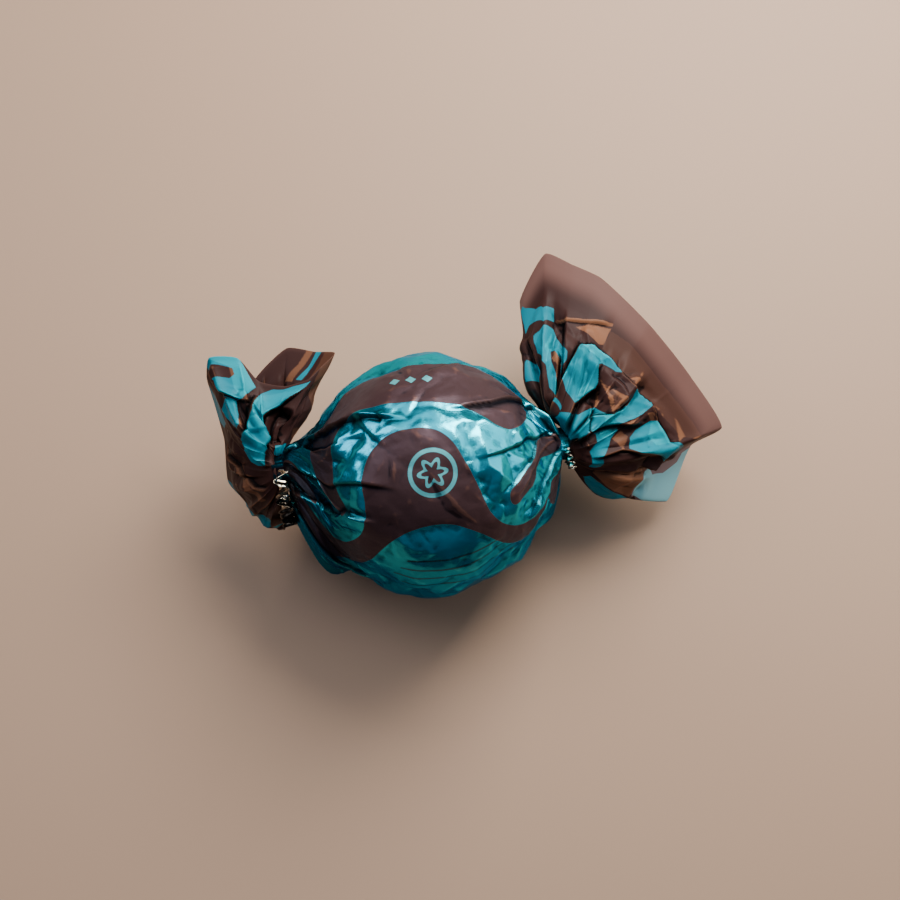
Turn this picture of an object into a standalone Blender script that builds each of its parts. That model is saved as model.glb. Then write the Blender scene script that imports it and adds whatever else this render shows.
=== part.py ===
"""A ball-shaped chocolate bonbon in a printed film wrapper, twisted shut at both sides.

The twist axis runs along X, Z is up, and the origin is the centre of the small flat spot
on which the ball rests. Lengths are in metres.
"""

import math

import bmesh
import bpy
import numpy as np

MM = 0.001

# Ball
BALL_RADIUS = 18.5 * MM
REST_SPOT_RADIUS = 5.0 * MM
BALL_HEIGHT = math.sqrt(BALL_RADIUS**2 - REST_SPOT_RADIUS**2)  # centre of the ball above the table
LEAVE_ANGLE = math.radians(50)  # from the middle plane to where the film leaves the ball

# Twists
NECK_RADIUS = 2.4 * MM
NECK_LENGTH = 1.2 * MM
LEFT_NECK = np.array([-21.8, 4.6, 18.9]) * MM
RIGHT_NECK = np.array([20.6, 1.0, 18.6]) * MM
CONE_TWIST = math.radians(35)  # how far the film turns on each cone, up to the neck

# Pleats of the film between the ball and each twist
PLEATS = 13
PLEAT_RISE = 1.1 * MM
PLEAT_WIDTH = math.radians(10)
PLEAT_UNEVENNESS = 0.45
PLEAT_SINK = 0.35  # how much more a pleat dips than it rises, as a share of its rise
PLEAT_FULL_AFTER = 0.4  # share of the way to the twist over which a pleat grows to its full rise
LEFT_AT_TWIST = 0.2  # share of a pleat's rise that is left at the twist

# Loose film that bulges in front, beside the ball: the angle that it points to, and how far it stands out
LOOSE_SPREAD = math.radians(56)
LEFT_LOOSE = {"toward": math.radians(-138), "by": 7.0 * MM}
RIGHT_LOOSE = {"toward": math.radians(-165), "by": 3.2 * MM}

# Film of the tails
FILM = 0.65 * MM
TAIL_FLARE = 0.65  # under 1, the tails widen most beside the twist
TAIL_PLEATS = 9
TAIL_PLEAT_RISE = 0.9 * MM
TAIL_PLEATS_FULL_AT = 0.35
TAIL_PLEATS_FADE = (0.62, 0.92)  # shares of a tail's length between which its pleats run out
HEM_ROUNDNESS = 0.6

# Hollow of each tail
TIP_START = 0.42  # where it begins, as a share of the tail's length
TIP_GROWTH = 0.3  # share of the length over which it grows to its full size
TIP_EDGE = 0.09  # how much more of a tail's width is solid at its tip than at the hem
LEAST_HOLLOW = 0.15  # share of the depth of a thin place that stays hollow

# Hem of each tail, once round: from the back over the upper layer to the front, then back below
LEFT_HEM = np.array([
    [-10.9, 21.9, 19.2],  # tip at the back, beside the ball
    [-13.2, 19.7, 20.6],
    [-15.6, 17.7, 21.6],
    [-19.4, 17.4, 21.2],  # valley of the upper layer
    [-23.2, 18.9, 21.3],
    [-25.8, 22.8, 22.6],  # lobe
    [-30.1, 23.9, 22.0],  # corner farthest from the ball
    [-31.2, 21.6, 19.4],
    [-31.0, 18.5, 16.0],
    [-30.7, 13.4, 12.0],
    [-31.5, 7.6, 8.0],
    [-29.4, 4.4, 5.4],
    [-26.3, 0.6, 4.0],  # front end, near the table
    [-24.0, -1.2, 5.6],
    [-25.4, 3.4, 8.0],
    [-26.4, 8.1, 10.0],
    [-26.4, 14.1, 12.4],
    [-24.4, 21.0, 15.0],
    [-18.3, 25.3, 15.6],  # middle of the lower layer
    [-14.0, 23.6, 16.4],
]) * MM
RIGHT_HEM = np.array([
    [24.7, 31.9, 19.0],  # back corner
    [28.6, 28.9, 19.8],
    [32.3, 26.0, 20.0],
    [35.5, 21.6, 19.6],
    [38.5, 17.1, 18.8],  # middle of the upper layer
    [41.1, 12.9, 17.2],
    [43.5, 8.7, 15.4],
    [47.1, 0.3, 12.4],  # corner farthest from the ball
    [42.1, -1.1, 9.6],
    [37.2, -8.2, 5.0],  # front end, the corner of the lower flap
    [33.6, -6.8, 4.6],
    [35.3, -1.5, 7.4],
    [37.2, 5.7, 10.6],
    [34.7, 18.1, 13.4],  # middle of the lower layer
    [28.4, 28.0, 15.6],
    [19.4, 25.4, 16.6],
]) * MM

# Tails: front is the number of the hem point at the front end, bow how strongly the film bends away from the
# twist's direction, and edges the solid shares of the width at the back and the front end
LEFT_TAIL = {
    "side": -1,
    "neck": LEFT_NECK,
    "hem": LEFT_HEM,
    "front": 12,
    "bow": 8.0 * MM,
    "edges": (0.06, 0.035),
}
RIGHT_TAIL = {
    "side": 1,
    "neck": RIGHT_NECK,
    "hem": RIGHT_HEM,
    "front": 9,
    "bow": 3.0 * MM,
    "edges": (0.035, 0.035),
}

# Crumpled liner foil that shows beside each twist
LINER_THICKNESS = 0.45 * MM
LINER_CLEARANCE = 0.5 * MM
LEFT_LINER = {
    "from": math.radians(115),
    "to": math.radians(262),
    "reach": 8.4 * MM,
    "lean": -0.1,
    "wave": 0.65 * MM,
    "ruffles": 5,
}
RIGHT_LINER = {
    "from": math.radians(125),
    "to": math.radians(235),
    "reach": 4.4 * MM,
    "lean": 0.22,
    "wave": 0.25 * MM,
    "ruffles": 3,
}

# Mesh
AROUND = 68
TAIL_RINGS = 12
TIP_RINGS = 8
CONE_RINGS = 9
BALL_RINGS = 15
LINER_STEPS = 22
LINER_ROWS = 4
WELD = 0.001 * MM
SMALL = 0.01  # step for the slope of a surface


def clear_scene():
    for item in list(bpy.data.objects):
        bpy.data.objects.remove(item, do_unlink=True)


def material(name, colour, roughness, metallic):
    made = bpy.data.materials.new(name)
    made.use_nodes = True
    surface = made.node_tree.nodes["Principled BSDF"]
    surface.inputs["Base Color"].default_value = (*colour, 1.0)
    surface.inputs["Roughness"].default_value = roughness
    surface.inputs["Metallic"].default_value = metallic
    return made


def smooth_step(value):
    clipped = np.clip(value, 0.0, 1.0)
    return clipped * clipped * (3.0 - 2.0 * clipped)


def uneven(index, seed):
    """A repeatable number from -1 to 1."""
    return math.sin(12.9898 * (index + 1) + 78.233 * seed + 4.1 * index * seed)


def angle_from(angle, centre):
    return np.angle(np.exp(1j * (angle - centre)))


def pleat_rise(angle, reach, side):
    """How far the pleats of one cone rise at this angle. reach runs from 0 on the ball to 1 at the twist."""
    rise = np.zeros_like(angle)
    for index in range(PLEATS):
        centre = 2 * math.pi * (index + PLEAT_UNEVENNESS * uneven(index, side)) / PLEATS
        width = PLEAT_WIDTH * (1 + 0.4 * uneven(index, side + 2))
        start = 0.05 + 0.2 * uneven(index, side + 4)
        away = angle_from(angle, centre) / width
        growth = smooth_step((reach - start) / PLEAT_FULL_AFTER)
        growth *= 1 - (1 - LEFT_AT_TWIST) * smooth_step((reach - 0.6) / 0.4)
        lean = math.copysign(1.1, uneven(index, side + 6))
        height = 0.75 + 0.3 * uneven(index, side + 8)
        rise += height * growth * (lean * away - PLEAT_SINK) * np.exp(-(away**2))
    return PLEAT_RISE * rise


def round_the_ball(angle, position):
    """Ring of the ball's body. position is the latitude from the middle plane, in radians."""
    radius = BALL_RADIUS * math.cos(position)
    return np.stack([
        np.full_like(angle, BALL_RADIUS * math.sin(position)),
        radius * np.cos(angle),
        BALL_HEIGHT + radius * np.sin(angle),
    ], axis=-1)


def cone_ring(angle, reach, neck, side):
    """Ring of the film between the ball, where reach is 0, and the twist, where it is 1."""
    start = BALL_RADIUS * math.sin(LEAVE_ANGLE) * side
    wide = BALL_RADIUS * math.cos(LEAVE_ANGLE)
    x = start + (neck[0] - start) * reach
    loose = LEFT_LOOSE if side < 0 else RIGHT_LOOSE
    away = angle_from(angle, loose["toward"]) / LOOSE_SPREAD
    radius = wide + (NECK_RADIUS - wide) * reach + pleat_rise(angle, reach, side)
    radius += loose["by"] * np.exp(-(away**2)) * math.sin(math.pi * reach**1.25) ** 1.2
    turned = angle + side * CONE_TWIST * float(smooth_step(reach))
    lift = float(smooth_step(reach))
    return np.stack([
        np.full_like(angle, x),
        neck[1] * lift + radius * np.cos(turned),
        BALL_HEIGHT + (neck[2] - BALL_HEIGHT) * lift + radius * np.sin(turned),
    ], axis=-1)


def closed_curve(points, front, share):
    """Points at these shares of the way round a closed curve. The point numbered front lies at one half."""
    steps = np.linalg.norm(np.roll(points, -1, axis=0) - points, axis=1)
    knots = np.concatenate([[0.0], np.cumsum(steps)])
    slope = np.roll(points, -1, axis=0) - np.roll(points, 1, axis=0)
    slope *= HEM_ROUNDNESS / (steps + np.roll(steps, 1))[:, None]
    where = np.interp(share % 1.0, [0.0, 0.5, 1.0], [0.0, knots[front], knots[-1]])
    index = np.clip(np.searchsorted(knots, where, side="right") - 1, 0, len(points) - 1)
    after = (index + 1) % len(points)
    length = steps[index][:, None]
    t = ((where - knots[index]) / steps[index])[:, None]
    return (
        (2 * t**3 - 3 * t**2 + 1) * points[index]
        + (t**3 - 2 * t**2 + t) * length * slope[index]
        + (3 * t**2 - 2 * t**3) * points[after]
        + (t**3 - t**2) * length * slope[after]
    )


def tail_base(angle, along, tail):
    """Tail surface before it is pleated: it leaves the twist along the axis and flares out to the hem."""
    side, neck = tail["side"], tail["neck"]
    middle = tail["hem"].mean(axis=0)
    start = neck + np.array([side * NECK_LENGTH, 0.0, 0.0])
    spread = closed_curve(tail["hem"], tail["front"], angle / (2 * math.pi)) - middle
    turned = angle + side * CONE_TWIST
    ring = NECK_RADIUS * np.stack([0 * angle, np.cos(turned), np.sin(turned)], axis=-1)
    flare = along**TAIL_FLARE
    bow = np.array([side * tail["bow"] * along * (1 - along) ** 2, 0.0, 0.0])
    return start + (middle - start) * along + bow + ring * (1 - flare) + spread * flare


def tail_ring(angle, along, tail, hollow=None):
    """Ring of a tail. along runs from 0 at the twist to 1 at the hem. The inside has a hollow from 0 to 1."""
    if hollow is not None:
        more = TIP_EDGE * (1 - along) / (1 - TIP_START)
        back, front = 1 - 2 * (tail["edges"][0] + more), 1 - 2 * (tail["edges"][1] + more)
        across = (back - front) / 2 + (back + front) / 2 * np.cos(angle) * hollow
        angle = np.arccos(across) * np.where(np.sin(angle) < 0, -1, 1)
    layer = tail_base(angle, along, tail)
    other = tail_base(-angle, along, tail)
    half = (layer - other) / 2
    depth = np.linalg.norm(half, axis=1)[:, None]
    up = half * np.where(np.sin(angle) < 0, -1, 1)[:, None] / (depth + MM / 2)
    width = np.abs(np.cos(angle / 2))
    wave = np.sin(math.pi * (TAIL_PLEATS * width) + 0.9 * np.sin(5 * math.pi * width))
    wave *= smooth_step(2 * np.abs(np.sin(angle)))
    wave *= smooth_step(along / TAIL_PLEATS_FULL_AT)
    wave *= 1 - smooth_step((along - TAIL_PLEATS_FADE[0]) / (TAIL_PLEATS_FADE[1] - TAIL_PLEATS_FADE[0]))
    if hollow is not None:
        wider = tail_base(angle + SMALL, along, tail) - layer
        longer = tail_base(angle, along - SMALL, tail) - layer
        normal = np.cross(wider, longer)
        normal /= np.linalg.norm(normal, axis=1)[:, None]
        facing = np.abs(np.sum(normal * half, axis=1))[:, None]
        half = half * np.maximum(1 - FILM / np.maximum(facing, FILM / 4), LEAST_HOLLOW) * hollow
    return (layer + other) / 2 + half + up * (TAIL_PLEAT_RISE * wave)[:, None]


def tail_rings(angle, tail):
    """Rings of one tail, from the tip of its hollow out to the hem and back to the twist."""
    rings = []
    for index in range(TIP_RINGS + 1):
        along = TIP_START + (1 - TIP_START) * index / TIP_RINGS
        grown = min((along - TIP_START) / TIP_GROWTH, 1.0) ** 0.5
        rings.append(tail_ring(angle, along, tail, hollow=grown))
    for index in range(TAIL_RINGS + 1):
        rings.append(tail_ring(angle, 1.0 - index / TAIL_RINGS, tail))
    return rings


def wrapper_rings():
    """All rings of the wrapper, from the hollow of the left tail over the ball to that of the right."""
    angle = np.arange(AROUND) * 2 * math.pi / AROUND
    rings = tail_rings(angle, LEFT_TAIL)
    for index in range(CONE_RINGS):
        rings.append(cone_ring(angle, 1 - index / CONE_RINGS, LEFT_NECK, -1))
    for index in range(BALL_RINGS + 1):
        rings.append(round_the_ball(angle, LEAVE_ANGLE * (2 * index / BALL_RINGS - 1)))
    for index in range(1, CONE_RINGS + 1):
        rings.append(cone_ring(angle, index / CONE_RINGS, RIGHT_NECK, 1))
    rings += reversed(tail_rings(angle, RIGHT_TAIL))
    return np.array(rings)


def sheet(columns, rows):
    """A new grid and, for each of its points, the column and the row."""
    made = bmesh.new()
    bmesh.ops.create_grid(made, x_segments=columns, y_segments=rows, size=1.0)
    places = [
        (point, round((point.co.x + 1) / 2 * columns), round((point.co.y + 1) / 2 * rows))
        for point in made.verts
    ]
    return made, places


def finish(made, name, look):
    bmesh.ops.remove_doubles(made, verts=made.verts, dist=WELD)
    bmesh.ops.recalc_face_normals(made, faces=made.faces)
    if made.calc_volume(signed=True) < 0:
        bmesh.ops.reverse_faces(made, faces=made.faces)
    mesh = bpy.data.meshes.new(name)
    made.to_mesh(mesh)
    made.free()
    mesh.materials.append(look)
    item = bpy.data.objects.new(name, mesh)
    bpy.context.scene.collection.objects.link(item)


def twist_wrapper():
    rings = wrapper_rings()
    rings[..., 2] = np.maximum(rings[..., 2], 0.0)
    made, places = sheet(AROUND, len(rings) - 1)
    for point, column, row in places:
        point.co = rings[row, column % AROUND]
    finish(made, "twist_wrapper", material("printed_film", (0.05, 0.35, 0.40), 0.3, 0.6))


def liner(name, neck, side, shape):
    """A ruffled collar of foil that stands out of the gap beside a twist."""
    made, places = sheet(LINER_STEPS, LINER_ROWS)
    inner = NECK_RADIUS + LINER_CLEARANCE
    for point, column, row in places:
        round_share = column / LINER_STEPS
        out = row / LINER_ROWS
        angle = shape["from"] + (shape["to"] - shape["from"]) * round_share
        end_fade = math.sin(math.pi * (0.12 + 0.76 * round_share))
        ragged = 1 + 0.08 * uneven(column, side + 3)
        radius = inner + (shape["reach"] - inner) * out * end_fade * ragged
        ruffle = shape["wave"] * math.sin(2 * math.pi * shape["ruffles"] * round_share) * out
        point.co = (
            neck[0] + side * NECK_LENGTH / 2 + shape["lean"] * (radius - inner) + ruffle,
            neck[1] + radius * math.cos(angle),
            neck[2] + radius * math.sin(angle),
        )
    bmesh.ops.recalc_face_normals(made, faces=made.faces)
    bmesh.ops.solidify(made, geom=made.faces[:], thickness=LINER_THICKNESS)
    finish(made, name, material(name + "_foil", (0.62, 0.58, 0.48), 0.25, 1.0))


clear_scene()
twist_wrapper()
liner("liner_foil_left", LEFT_NECK, -1, LEFT_LINER)
liner("liner_foil_right", RIGHT_NECK, 1, RIGHT_LINER)
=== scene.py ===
"""Looks of a ball-shaped chocolate bonbon in a printed film wrapper, twisted shut at both sides.

The twist axis runs along X, Z is up, and lengths are in metres. Angles count round the axis: 0 at the back, 90 degrees
on top and 180 degrees in front. Print, folds and fields of tone are laid out on the flat film in millimetres: run
along it and across it. On the ball, run counts from its middle towards the right tail, and across from the top
towards the front. On a tail, run counts from the twist to the hem, and across from the back over the top.
"""

import math

import bmesh
import bpy
import numpy as np
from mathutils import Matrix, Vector
from mathutils.bvhtree import BVHTree
from mathutils.geometry import delaunay_2d_cdt


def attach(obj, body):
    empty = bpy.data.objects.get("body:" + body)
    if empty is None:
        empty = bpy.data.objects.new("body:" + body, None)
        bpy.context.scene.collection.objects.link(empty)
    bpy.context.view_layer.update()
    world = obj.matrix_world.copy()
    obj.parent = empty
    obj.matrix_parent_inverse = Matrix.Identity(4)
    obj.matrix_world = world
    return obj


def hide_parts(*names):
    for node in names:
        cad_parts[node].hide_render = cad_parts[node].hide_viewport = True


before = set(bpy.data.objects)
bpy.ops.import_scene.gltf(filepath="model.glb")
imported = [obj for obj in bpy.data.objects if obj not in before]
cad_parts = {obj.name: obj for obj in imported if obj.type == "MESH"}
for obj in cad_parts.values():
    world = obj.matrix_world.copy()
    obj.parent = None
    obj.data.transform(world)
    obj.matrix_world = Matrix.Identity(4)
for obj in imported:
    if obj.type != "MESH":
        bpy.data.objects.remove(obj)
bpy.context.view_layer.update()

bl_info = {
    "name": "Twist-wrapped bonbon",
    "version": (1, 0, 0),
    "blender": (4, 5, 0),
    "location": "3D View > Sidebar > Bonbon",
    "description": "Models and dresses a chocolate bonbon in a printed twist wrapper",
    "category": "Add Mesh",
}

MM = 0.001

# Ball and twists, as in the solids
BALL_RADIUS = 18.5 * MM
REST_SPOT_RADIUS = 5.0 * MM
BALL_HEIGHT = math.sqrt(BALL_RADIUS**2 - REST_SPOT_RADIUS**2)
LEAVE_ANGLE = math.radians(50)
NECK_RADIUS = 2.4 * MM
NECK_LENGTH = 1.2 * MM
LEFT_NECK = np.array([-21.8, 4.6, 18.9]) * MM
RIGHT_NECK = np.array([20.6, 1.0, 18.6]) * MM
CONE_TWIST = math.radians(35)
PLEATS = 13
PLEAT_RISE = 1.1 * MM
PLEAT_WIDTH = math.radians(10)
PLEAT_UNEVENNESS = 0.45
PLEAT_SINK = 0.35
PLEAT_FULL_AFTER = 0.4
PLEAT_LEAN = 1.1
PLEAT_AT_TWIST = 0.2  # what is left of a pleat at the twist
PLEAT_SINKS_FROM = 0.6  # share of the cone from which its pleats sink
LOOSE_SPREAD = math.radians(56)
LOOSE_PEAK, LOOSE_BLUNTNESS = 1.25, 1.2  # how far the loose belly of a cone lies towards its twist, and how blunt it is
LEFT_LOOSE = {"toward": math.radians(-138), "by": 7.0 * MM}
RIGHT_LOOSE = {"toward": math.radians(-165), "by": 3.2 * MM}
LEAVE_RUN = BALL_RADIUS * LEAVE_ANGLE  # film from the middle of the ball to where it leaves the ball
CONE_RUN = 12.0 * MM  # film of a cone
FILM_WIDTH = 2 * math.pi * BALL_RADIUS

# Tails, as in the solids
TAIL_FLARE = 0.65
HEM_ROUNDNESS = 0.6
LEFT_HEM = np.array([
    [-10.9, 21.9, 19.2],
    [-13.2, 19.7, 20.6],
    [-15.6, 17.7, 21.6],
    [-19.4, 17.4, 21.2],
    [-23.2, 18.9, 21.3],
    [-25.8, 22.8, 22.6],
    [-30.1, 23.9, 22.0],
    [-31.2, 21.6, 19.4],
    [-31.0, 18.5, 16.0],
    [-30.7, 13.4, 12.0],
    [-31.5, 7.6, 8.0],
    [-29.4, 4.4, 5.4],
    [-26.3, 0.6, 4.0],
    [-24.0, -1.2, 5.6],
    [-25.4, 3.4, 8.0],
    [-26.4, 8.1, 10.0],
    [-26.4, 14.1, 12.4],
    [-24.4, 21.0, 15.0],
    [-18.3, 25.3, 15.6],
    [-14.0, 23.6, 16.4],
]) * MM
RIGHT_HEM = np.array([
    [24.7, 31.9, 19.0],
    [28.6, 28.9, 19.8],
    [32.3, 26.0, 20.0],
    [35.5, 21.6, 19.6],
    [38.5, 17.1, 18.8],
    [41.1, 12.9, 17.2],
    [43.5, 8.7, 15.4],
    [47.1, 0.3, 12.4],
    [42.1, -1.1, 9.6],
    [37.2, -8.2, 5.0],
    [33.6, -6.8, 4.6],
    [35.3, -1.5, 7.4],
    [37.2, 5.7, 10.6],
    [34.7, 18.1, 13.4],
    [28.4, 28.0, 15.6],
    [19.4, 25.4, 16.6],
]) * MM
LEFT_TAIL = {"side": -1, "neck": LEFT_NECK, "hem": LEFT_HEM, "front": 12, "bow": 8.0 * MM}
RIGHT_TAIL = {"side": 1, "neck": RIGHT_NECK, "hem": RIGHT_HEM, "front": 9, "bow": 3.0 * MM}

# Meshes
BALL_COLUMNS, BALL_ROWS = 420, 200
TAIL_COLUMNS, TAIL_ROWS = 400, 96
FOIL_COLUMNS, FOIL_ROWS = 160, 50
FILM_THICKNESS = 0.1 * MM
FOIL_THICKNESS = 0.06 * MM
WELD = 0.001 * MM
BALL_BEND, TAIL_BEND = 0.045 * MM, 0.085 * MM  # bend between neighbouring points that counts as sharp
NECK_COVER = np.array([NECK_LENGTH + 0.5 * MM, 0.0, 0.0])  # the film of a cone runs through the twist into the tail

# Crumples: flat facets between sharp creases
FACET_JITTER = 0.48
BALL_CRUMPLES = (  # size of the facets, seed, depth on the ball, and how much shallower they are on a cone
    (5.0 * MM, 3, 0.42 * MM, 0.16 * MM),
    (2.2 * MM, 7, 0.17 * MM, 0.06 * MM),
    (1.1 * MM, 9, 0.04 * MM, 0.0),
)
CONE_SHALLOW_AFTER = 0.4
CRUMPLES_FADE_FROM = 0.75
BROWN_DEPTH, TEAL_DEPTH = 0.75, 1.5  # the ball's crumples are shallower in brown print than in teal print
TAIL_FACET, TAIL_FINE_FACET = 6.0 * MM, 2.6 * MM
TAIL_FINE_SHARE = 0.35
TAIL_PLEATS = 17
LEFT_SEED, RIGHT_SEED = 21, 42
FOIL_PERIOD = 40 * MM
FOIL_CRUMPLES = ((1.3 * MM, 0.45 * MM), (0.7 * MM, 0.25 * MM))  # size of the facets and depth
FOIL_CRUMPLE_WAY = np.array([1.0, 0.25, 0.25])

# Folds and tone, in mm
FOLD_FADE_IN, FOLD_FADE_OUT = 0.12, 0.2  # as shares of the fold
FOLD_STEP = 0.4
GAP_AWAY = 0.6  # the painted shadow's place beside the fold, as a share of its width
# Place and width of the painted highlight along a fold's edge
EDGE_AWAY, EDGE_WIDTH = 0.12, 0.14
TONE_BLUR = 0.35
DENT_BLUR = 2.2
LEFT_CONE_SHADE = {"share": 0.8, "from": 11.0, "over": 9.0}
RIGHT_CONE_SHADE = {"share": 0.55, "from": 13.0, "over": 5.0}
FOIL_SHADE_FROM, FOIL_SHADE_OVER = 6.0 * MM, 1.6 * MM


def smooth_step(value):
    clipped = np.clip(value, 0.0, 1.0)
    return clipped * clipped * (3.0 - 2.0 * clipped)


def uneven(index, seed):
    """A repeatable number from -1 to 1."""
    return math.sin(12.9898 * (index + 1) + 78.233 * seed + 4.1 * index * seed)


def angle_from(angle, centre):
    return np.angle(np.exp(1j * (angle - centre)))


def creased(across, along, spacing, period, seed):
    """Heights from -1 to 1 of a sheet crumpled into flat facets, and a number from 0 to 1 for each facet."""
    shape = across.shape
    across, along = across.ravel(), along.ravel()
    random = np.random.default_rng(seed)
    columns = max(3, round(period / spacing))
    low, high = along.min() - 2 * spacing, along.max() + 2 * spacing
    rows = math.ceil((high - low) / spacing)
    corners = []
    for row in range(rows):
        for column in range(columns):
            shift = random.uniform(-FACET_JITTER, FACET_JITTER, 2)
            height = random.uniform(-1, 1)
            place = ((column + 0.5 + shift[0]) * period / columns, low + (row + 0.5 + shift[1]) * spacing)
            for repeat in (-1, 0, 1):
                corners.append((place[0] + repeat * period, place[1], height))
    corners = [corner for corner in corners if -3 * spacing < corner[0] < period + 3 * spacing]
    flat = [Vector(corner[:2]) / spacing for corner in corners]
    placed, _, facets, _, _, _ = delaunay_2d_cdt(flat, [], [], 0, 1e-6)
    raised = [Vector((place.x, place.y, corner[2])) for place, corner in zip(placed, corners)]
    tree = BVHTree.FromPolygons(raised, facets)
    tones = random.uniform(0, 1, len(facets))
    heights, tone = np.zeros(across.shape), np.zeros(across.shape)
    down = Vector((0, 0, -1))
    for index, (x, y) in enumerate(zip((across % period) / spacing, along / spacing)):
        hit, _, facet, _ = tree.ray_cast(Vector((x, y, 5)), down)
        if hit is not None:
            heights[index] = hit.z
            tone[index] = tones[facet]
    return heights.reshape(shape), tone.reshape(shape)


def facing(rings):
    """Outward directions of a closed-round grid of rings."""
    round_step = np.roll(rings, -1, axis=1) - np.roll(rings, 1, axis=1)
    along_step = np.gradient(rings, axis=0)
    normal = np.cross(along_step, round_step)
    length = np.linalg.norm(normal, axis=2, keepdims=True)
    normal = normal / np.maximum(length, 1e-12)
    outward = rings - rings.mean(axis=1, keepdims=True)
    if np.sum(normal * outward) < 0:
        normal = -normal
    return normal


def pleat_rise(angle, reach, side):
    rise = np.zeros_like(angle)
    for index in range(PLEATS):
        centre = 2 * math.pi * (index + PLEAT_UNEVENNESS * uneven(index, side)) / PLEATS
        width = PLEAT_WIDTH * (1 + 0.4 * uneven(index, side + 2))
        start = 0.05 + 0.2 * uneven(index, side + 4)
        away = angle_from(angle, centre) / width
        growth = smooth_step((reach - start) / PLEAT_FULL_AFTER)
        growth *= 1 - (1 - PLEAT_AT_TWIST) * smooth_step((reach - PLEAT_SINKS_FROM) / (1 - PLEAT_SINKS_FROM))
        lean = math.copysign(PLEAT_LEAN, uneven(index, side + 6))
        height = 0.75 + 0.3 * uneven(index, side + 8)
        rise += height * growth * (lean * away - PLEAT_SINK) * np.exp(-(away**2))
    return PLEAT_RISE * rise


def cone_points(angle, reach, neck, side):
    start = BALL_RADIUS * math.sin(LEAVE_ANGLE) * side
    wide = BALL_RADIUS * math.cos(LEAVE_ANGLE)
    loose = LEFT_LOOSE if side < 0 else RIGHT_LOOSE
    away = angle_from(angle, loose["toward"]) / LOOSE_SPREAD
    radius = wide + (NECK_RADIUS - wide) * reach + pleat_rise(angle, reach, side)
    belly = np.abs(np.sin(math.pi * reach**LOOSE_PEAK)) ** LOOSE_BLUNTNESS
    radius += loose["by"] * np.exp(-(away**2)) * belly
    turned = angle + side * CONE_TWIST * smooth_step(reach)
    lift = smooth_step(reach)
    return np.stack([
        start + (neck[0] - start) * reach,
        neck[1] * lift + radius * np.cos(turned),
        BALL_HEIGHT + (neck[2] - BALL_HEIGHT) * lift + radius * np.sin(turned),
    ], axis=-1)


def ball_points(angle, run):
    latitude = run / BALL_RADIUS
    radius = BALL_RADIUS * np.cos(latitude)
    return np.stack([
        BALL_RADIUS * np.sin(latitude),
        radius * np.cos(angle),
        BALL_HEIGHT + radius * np.sin(angle),
    ], axis=-1)


def closed_curve(points, front, share):
    """Points at these shares of the way round a closed curve. The point numbered front lies at one half."""
    steps = np.linalg.norm(np.roll(points, -1, axis=0) - points, axis=1)
    knots = np.concatenate([[0.0], np.cumsum(steps)])
    slope = np.roll(points, -1, axis=0) - np.roll(points, 1, axis=0)
    slope *= HEM_ROUNDNESS / (steps + np.roll(steps, 1))[:, None]
    where = np.interp(share % 1.0, [0.0, 0.5, 1.0], [0.0, knots[front], knots[-1]])
    index = np.clip(np.searchsorted(knots, where, side="right") - 1, 0, len(points) - 1)
    after = (index + 1) % len(points)
    length = steps[index][:, None]
    t = ((where - knots[index]) / steps[index])[:, None]
    return (
        (2 * t**3 - 3 * t**2 + 1) * points[index]
        + (t**3 - 2 * t**2 + t) * length * slope[index]
        + (3 * t**2 - 2 * t**3) * points[after]
        + (t**3 - t**2) * length * slope[after]
    )


def tail_points(angle, along, tail):
    """Points of a tail before it is pleated. angle is one ring, along the rows."""
    side, neck = tail["side"], tail["neck"]
    middle = tail["hem"].mean(axis=0)
    start = neck + np.array([side * NECK_LENGTH, 0.0, 0.0])
    spread = closed_curve(tail["hem"], tail["front"], angle / (2 * math.pi)) - middle
    turned = angle + side * CONE_TWIST
    ring = NECK_RADIUS * np.stack([0 * angle, np.cos(turned), np.sin(turned)], axis=-1)
    step = along[:, None, None]
    flare = step**TAIL_FLARE
    bow = side * tail["bow"] * step * (1 - step) ** 2 * np.array([1.0, 0.0, 0.0])
    return start + (middle - start) * step + bow + ring * (1 - flare) + spread * flare


def fold(side, rise, width, gap, path, crossways=False):
    """A fold: the side that lies on top, its rise, its width and the width of the painted shadow in its gap in mm, and
    its path on the film.
    """
    return {"side": side, "rise": rise, "width": width, "gap": gap, "path": path, "crossways": crossways}


def folds(run, across, scale, lines):
    """Rise of the film at its folds, the painted shadow in the gap beside each, and the painted highlight along its
    edge.

    run and across are in mm, and scale is how wide the film lies beside its own width. A fold runs lengthwise, unless
    it is crossways, and its path is followed in the order of run or of across."""
    rise, gap, edge_highlight = np.zeros_like(run), np.zeros_like(run), np.zeros_like(run)
    half = FILM_WIDTH / MM / 2
    for line in lines:
        path = np.array(line["path"], float)
        if line["crossways"]:
            middle = np.interp(across, path[:, 1], path[:, 0])
            away = (run - middle) * line["side"]
            gone = (across - path[0, 1]) / (path[-1, 1] - path[0, 1])
        else:
            order = np.argsort(path[:, 0])
            middle = np.interp(run, path[order, 0], path[order, 1])
            away = (across - middle + half) % (2 * half) - half
            away = away * scale * line["side"]
            gone = (run - path[0, 0]) / (path[-1, 0] - path[0, 0])
        strength = smooth_step(gone / FOLD_FADE_IN + 0.5)
        strength = strength * (1 - smooth_step((gone - 1 + FOLD_FADE_OUT) / FOLD_FADE_OUT))
        slope = smooth_step(away / FOLD_STEP + 0.5) * np.exp(-np.maximum(away, 0) / line["width"])
        rise += line["rise"] * MM * strength * slope
        wide = line["gap"]
        if wide:
            # painted shadow in the gap under the fold's top side
            gap = np.maximum(gap, strength * np.exp(-((away + wide * GAP_AWAY) / wide) ** 2))
        edge_highlight = np.maximum(edge_highlight, strength * np.exp(-((away - EDGE_AWAY) / EDGE_WIDTH) ** 2))
    return rise, gap, edge_highlight


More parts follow.
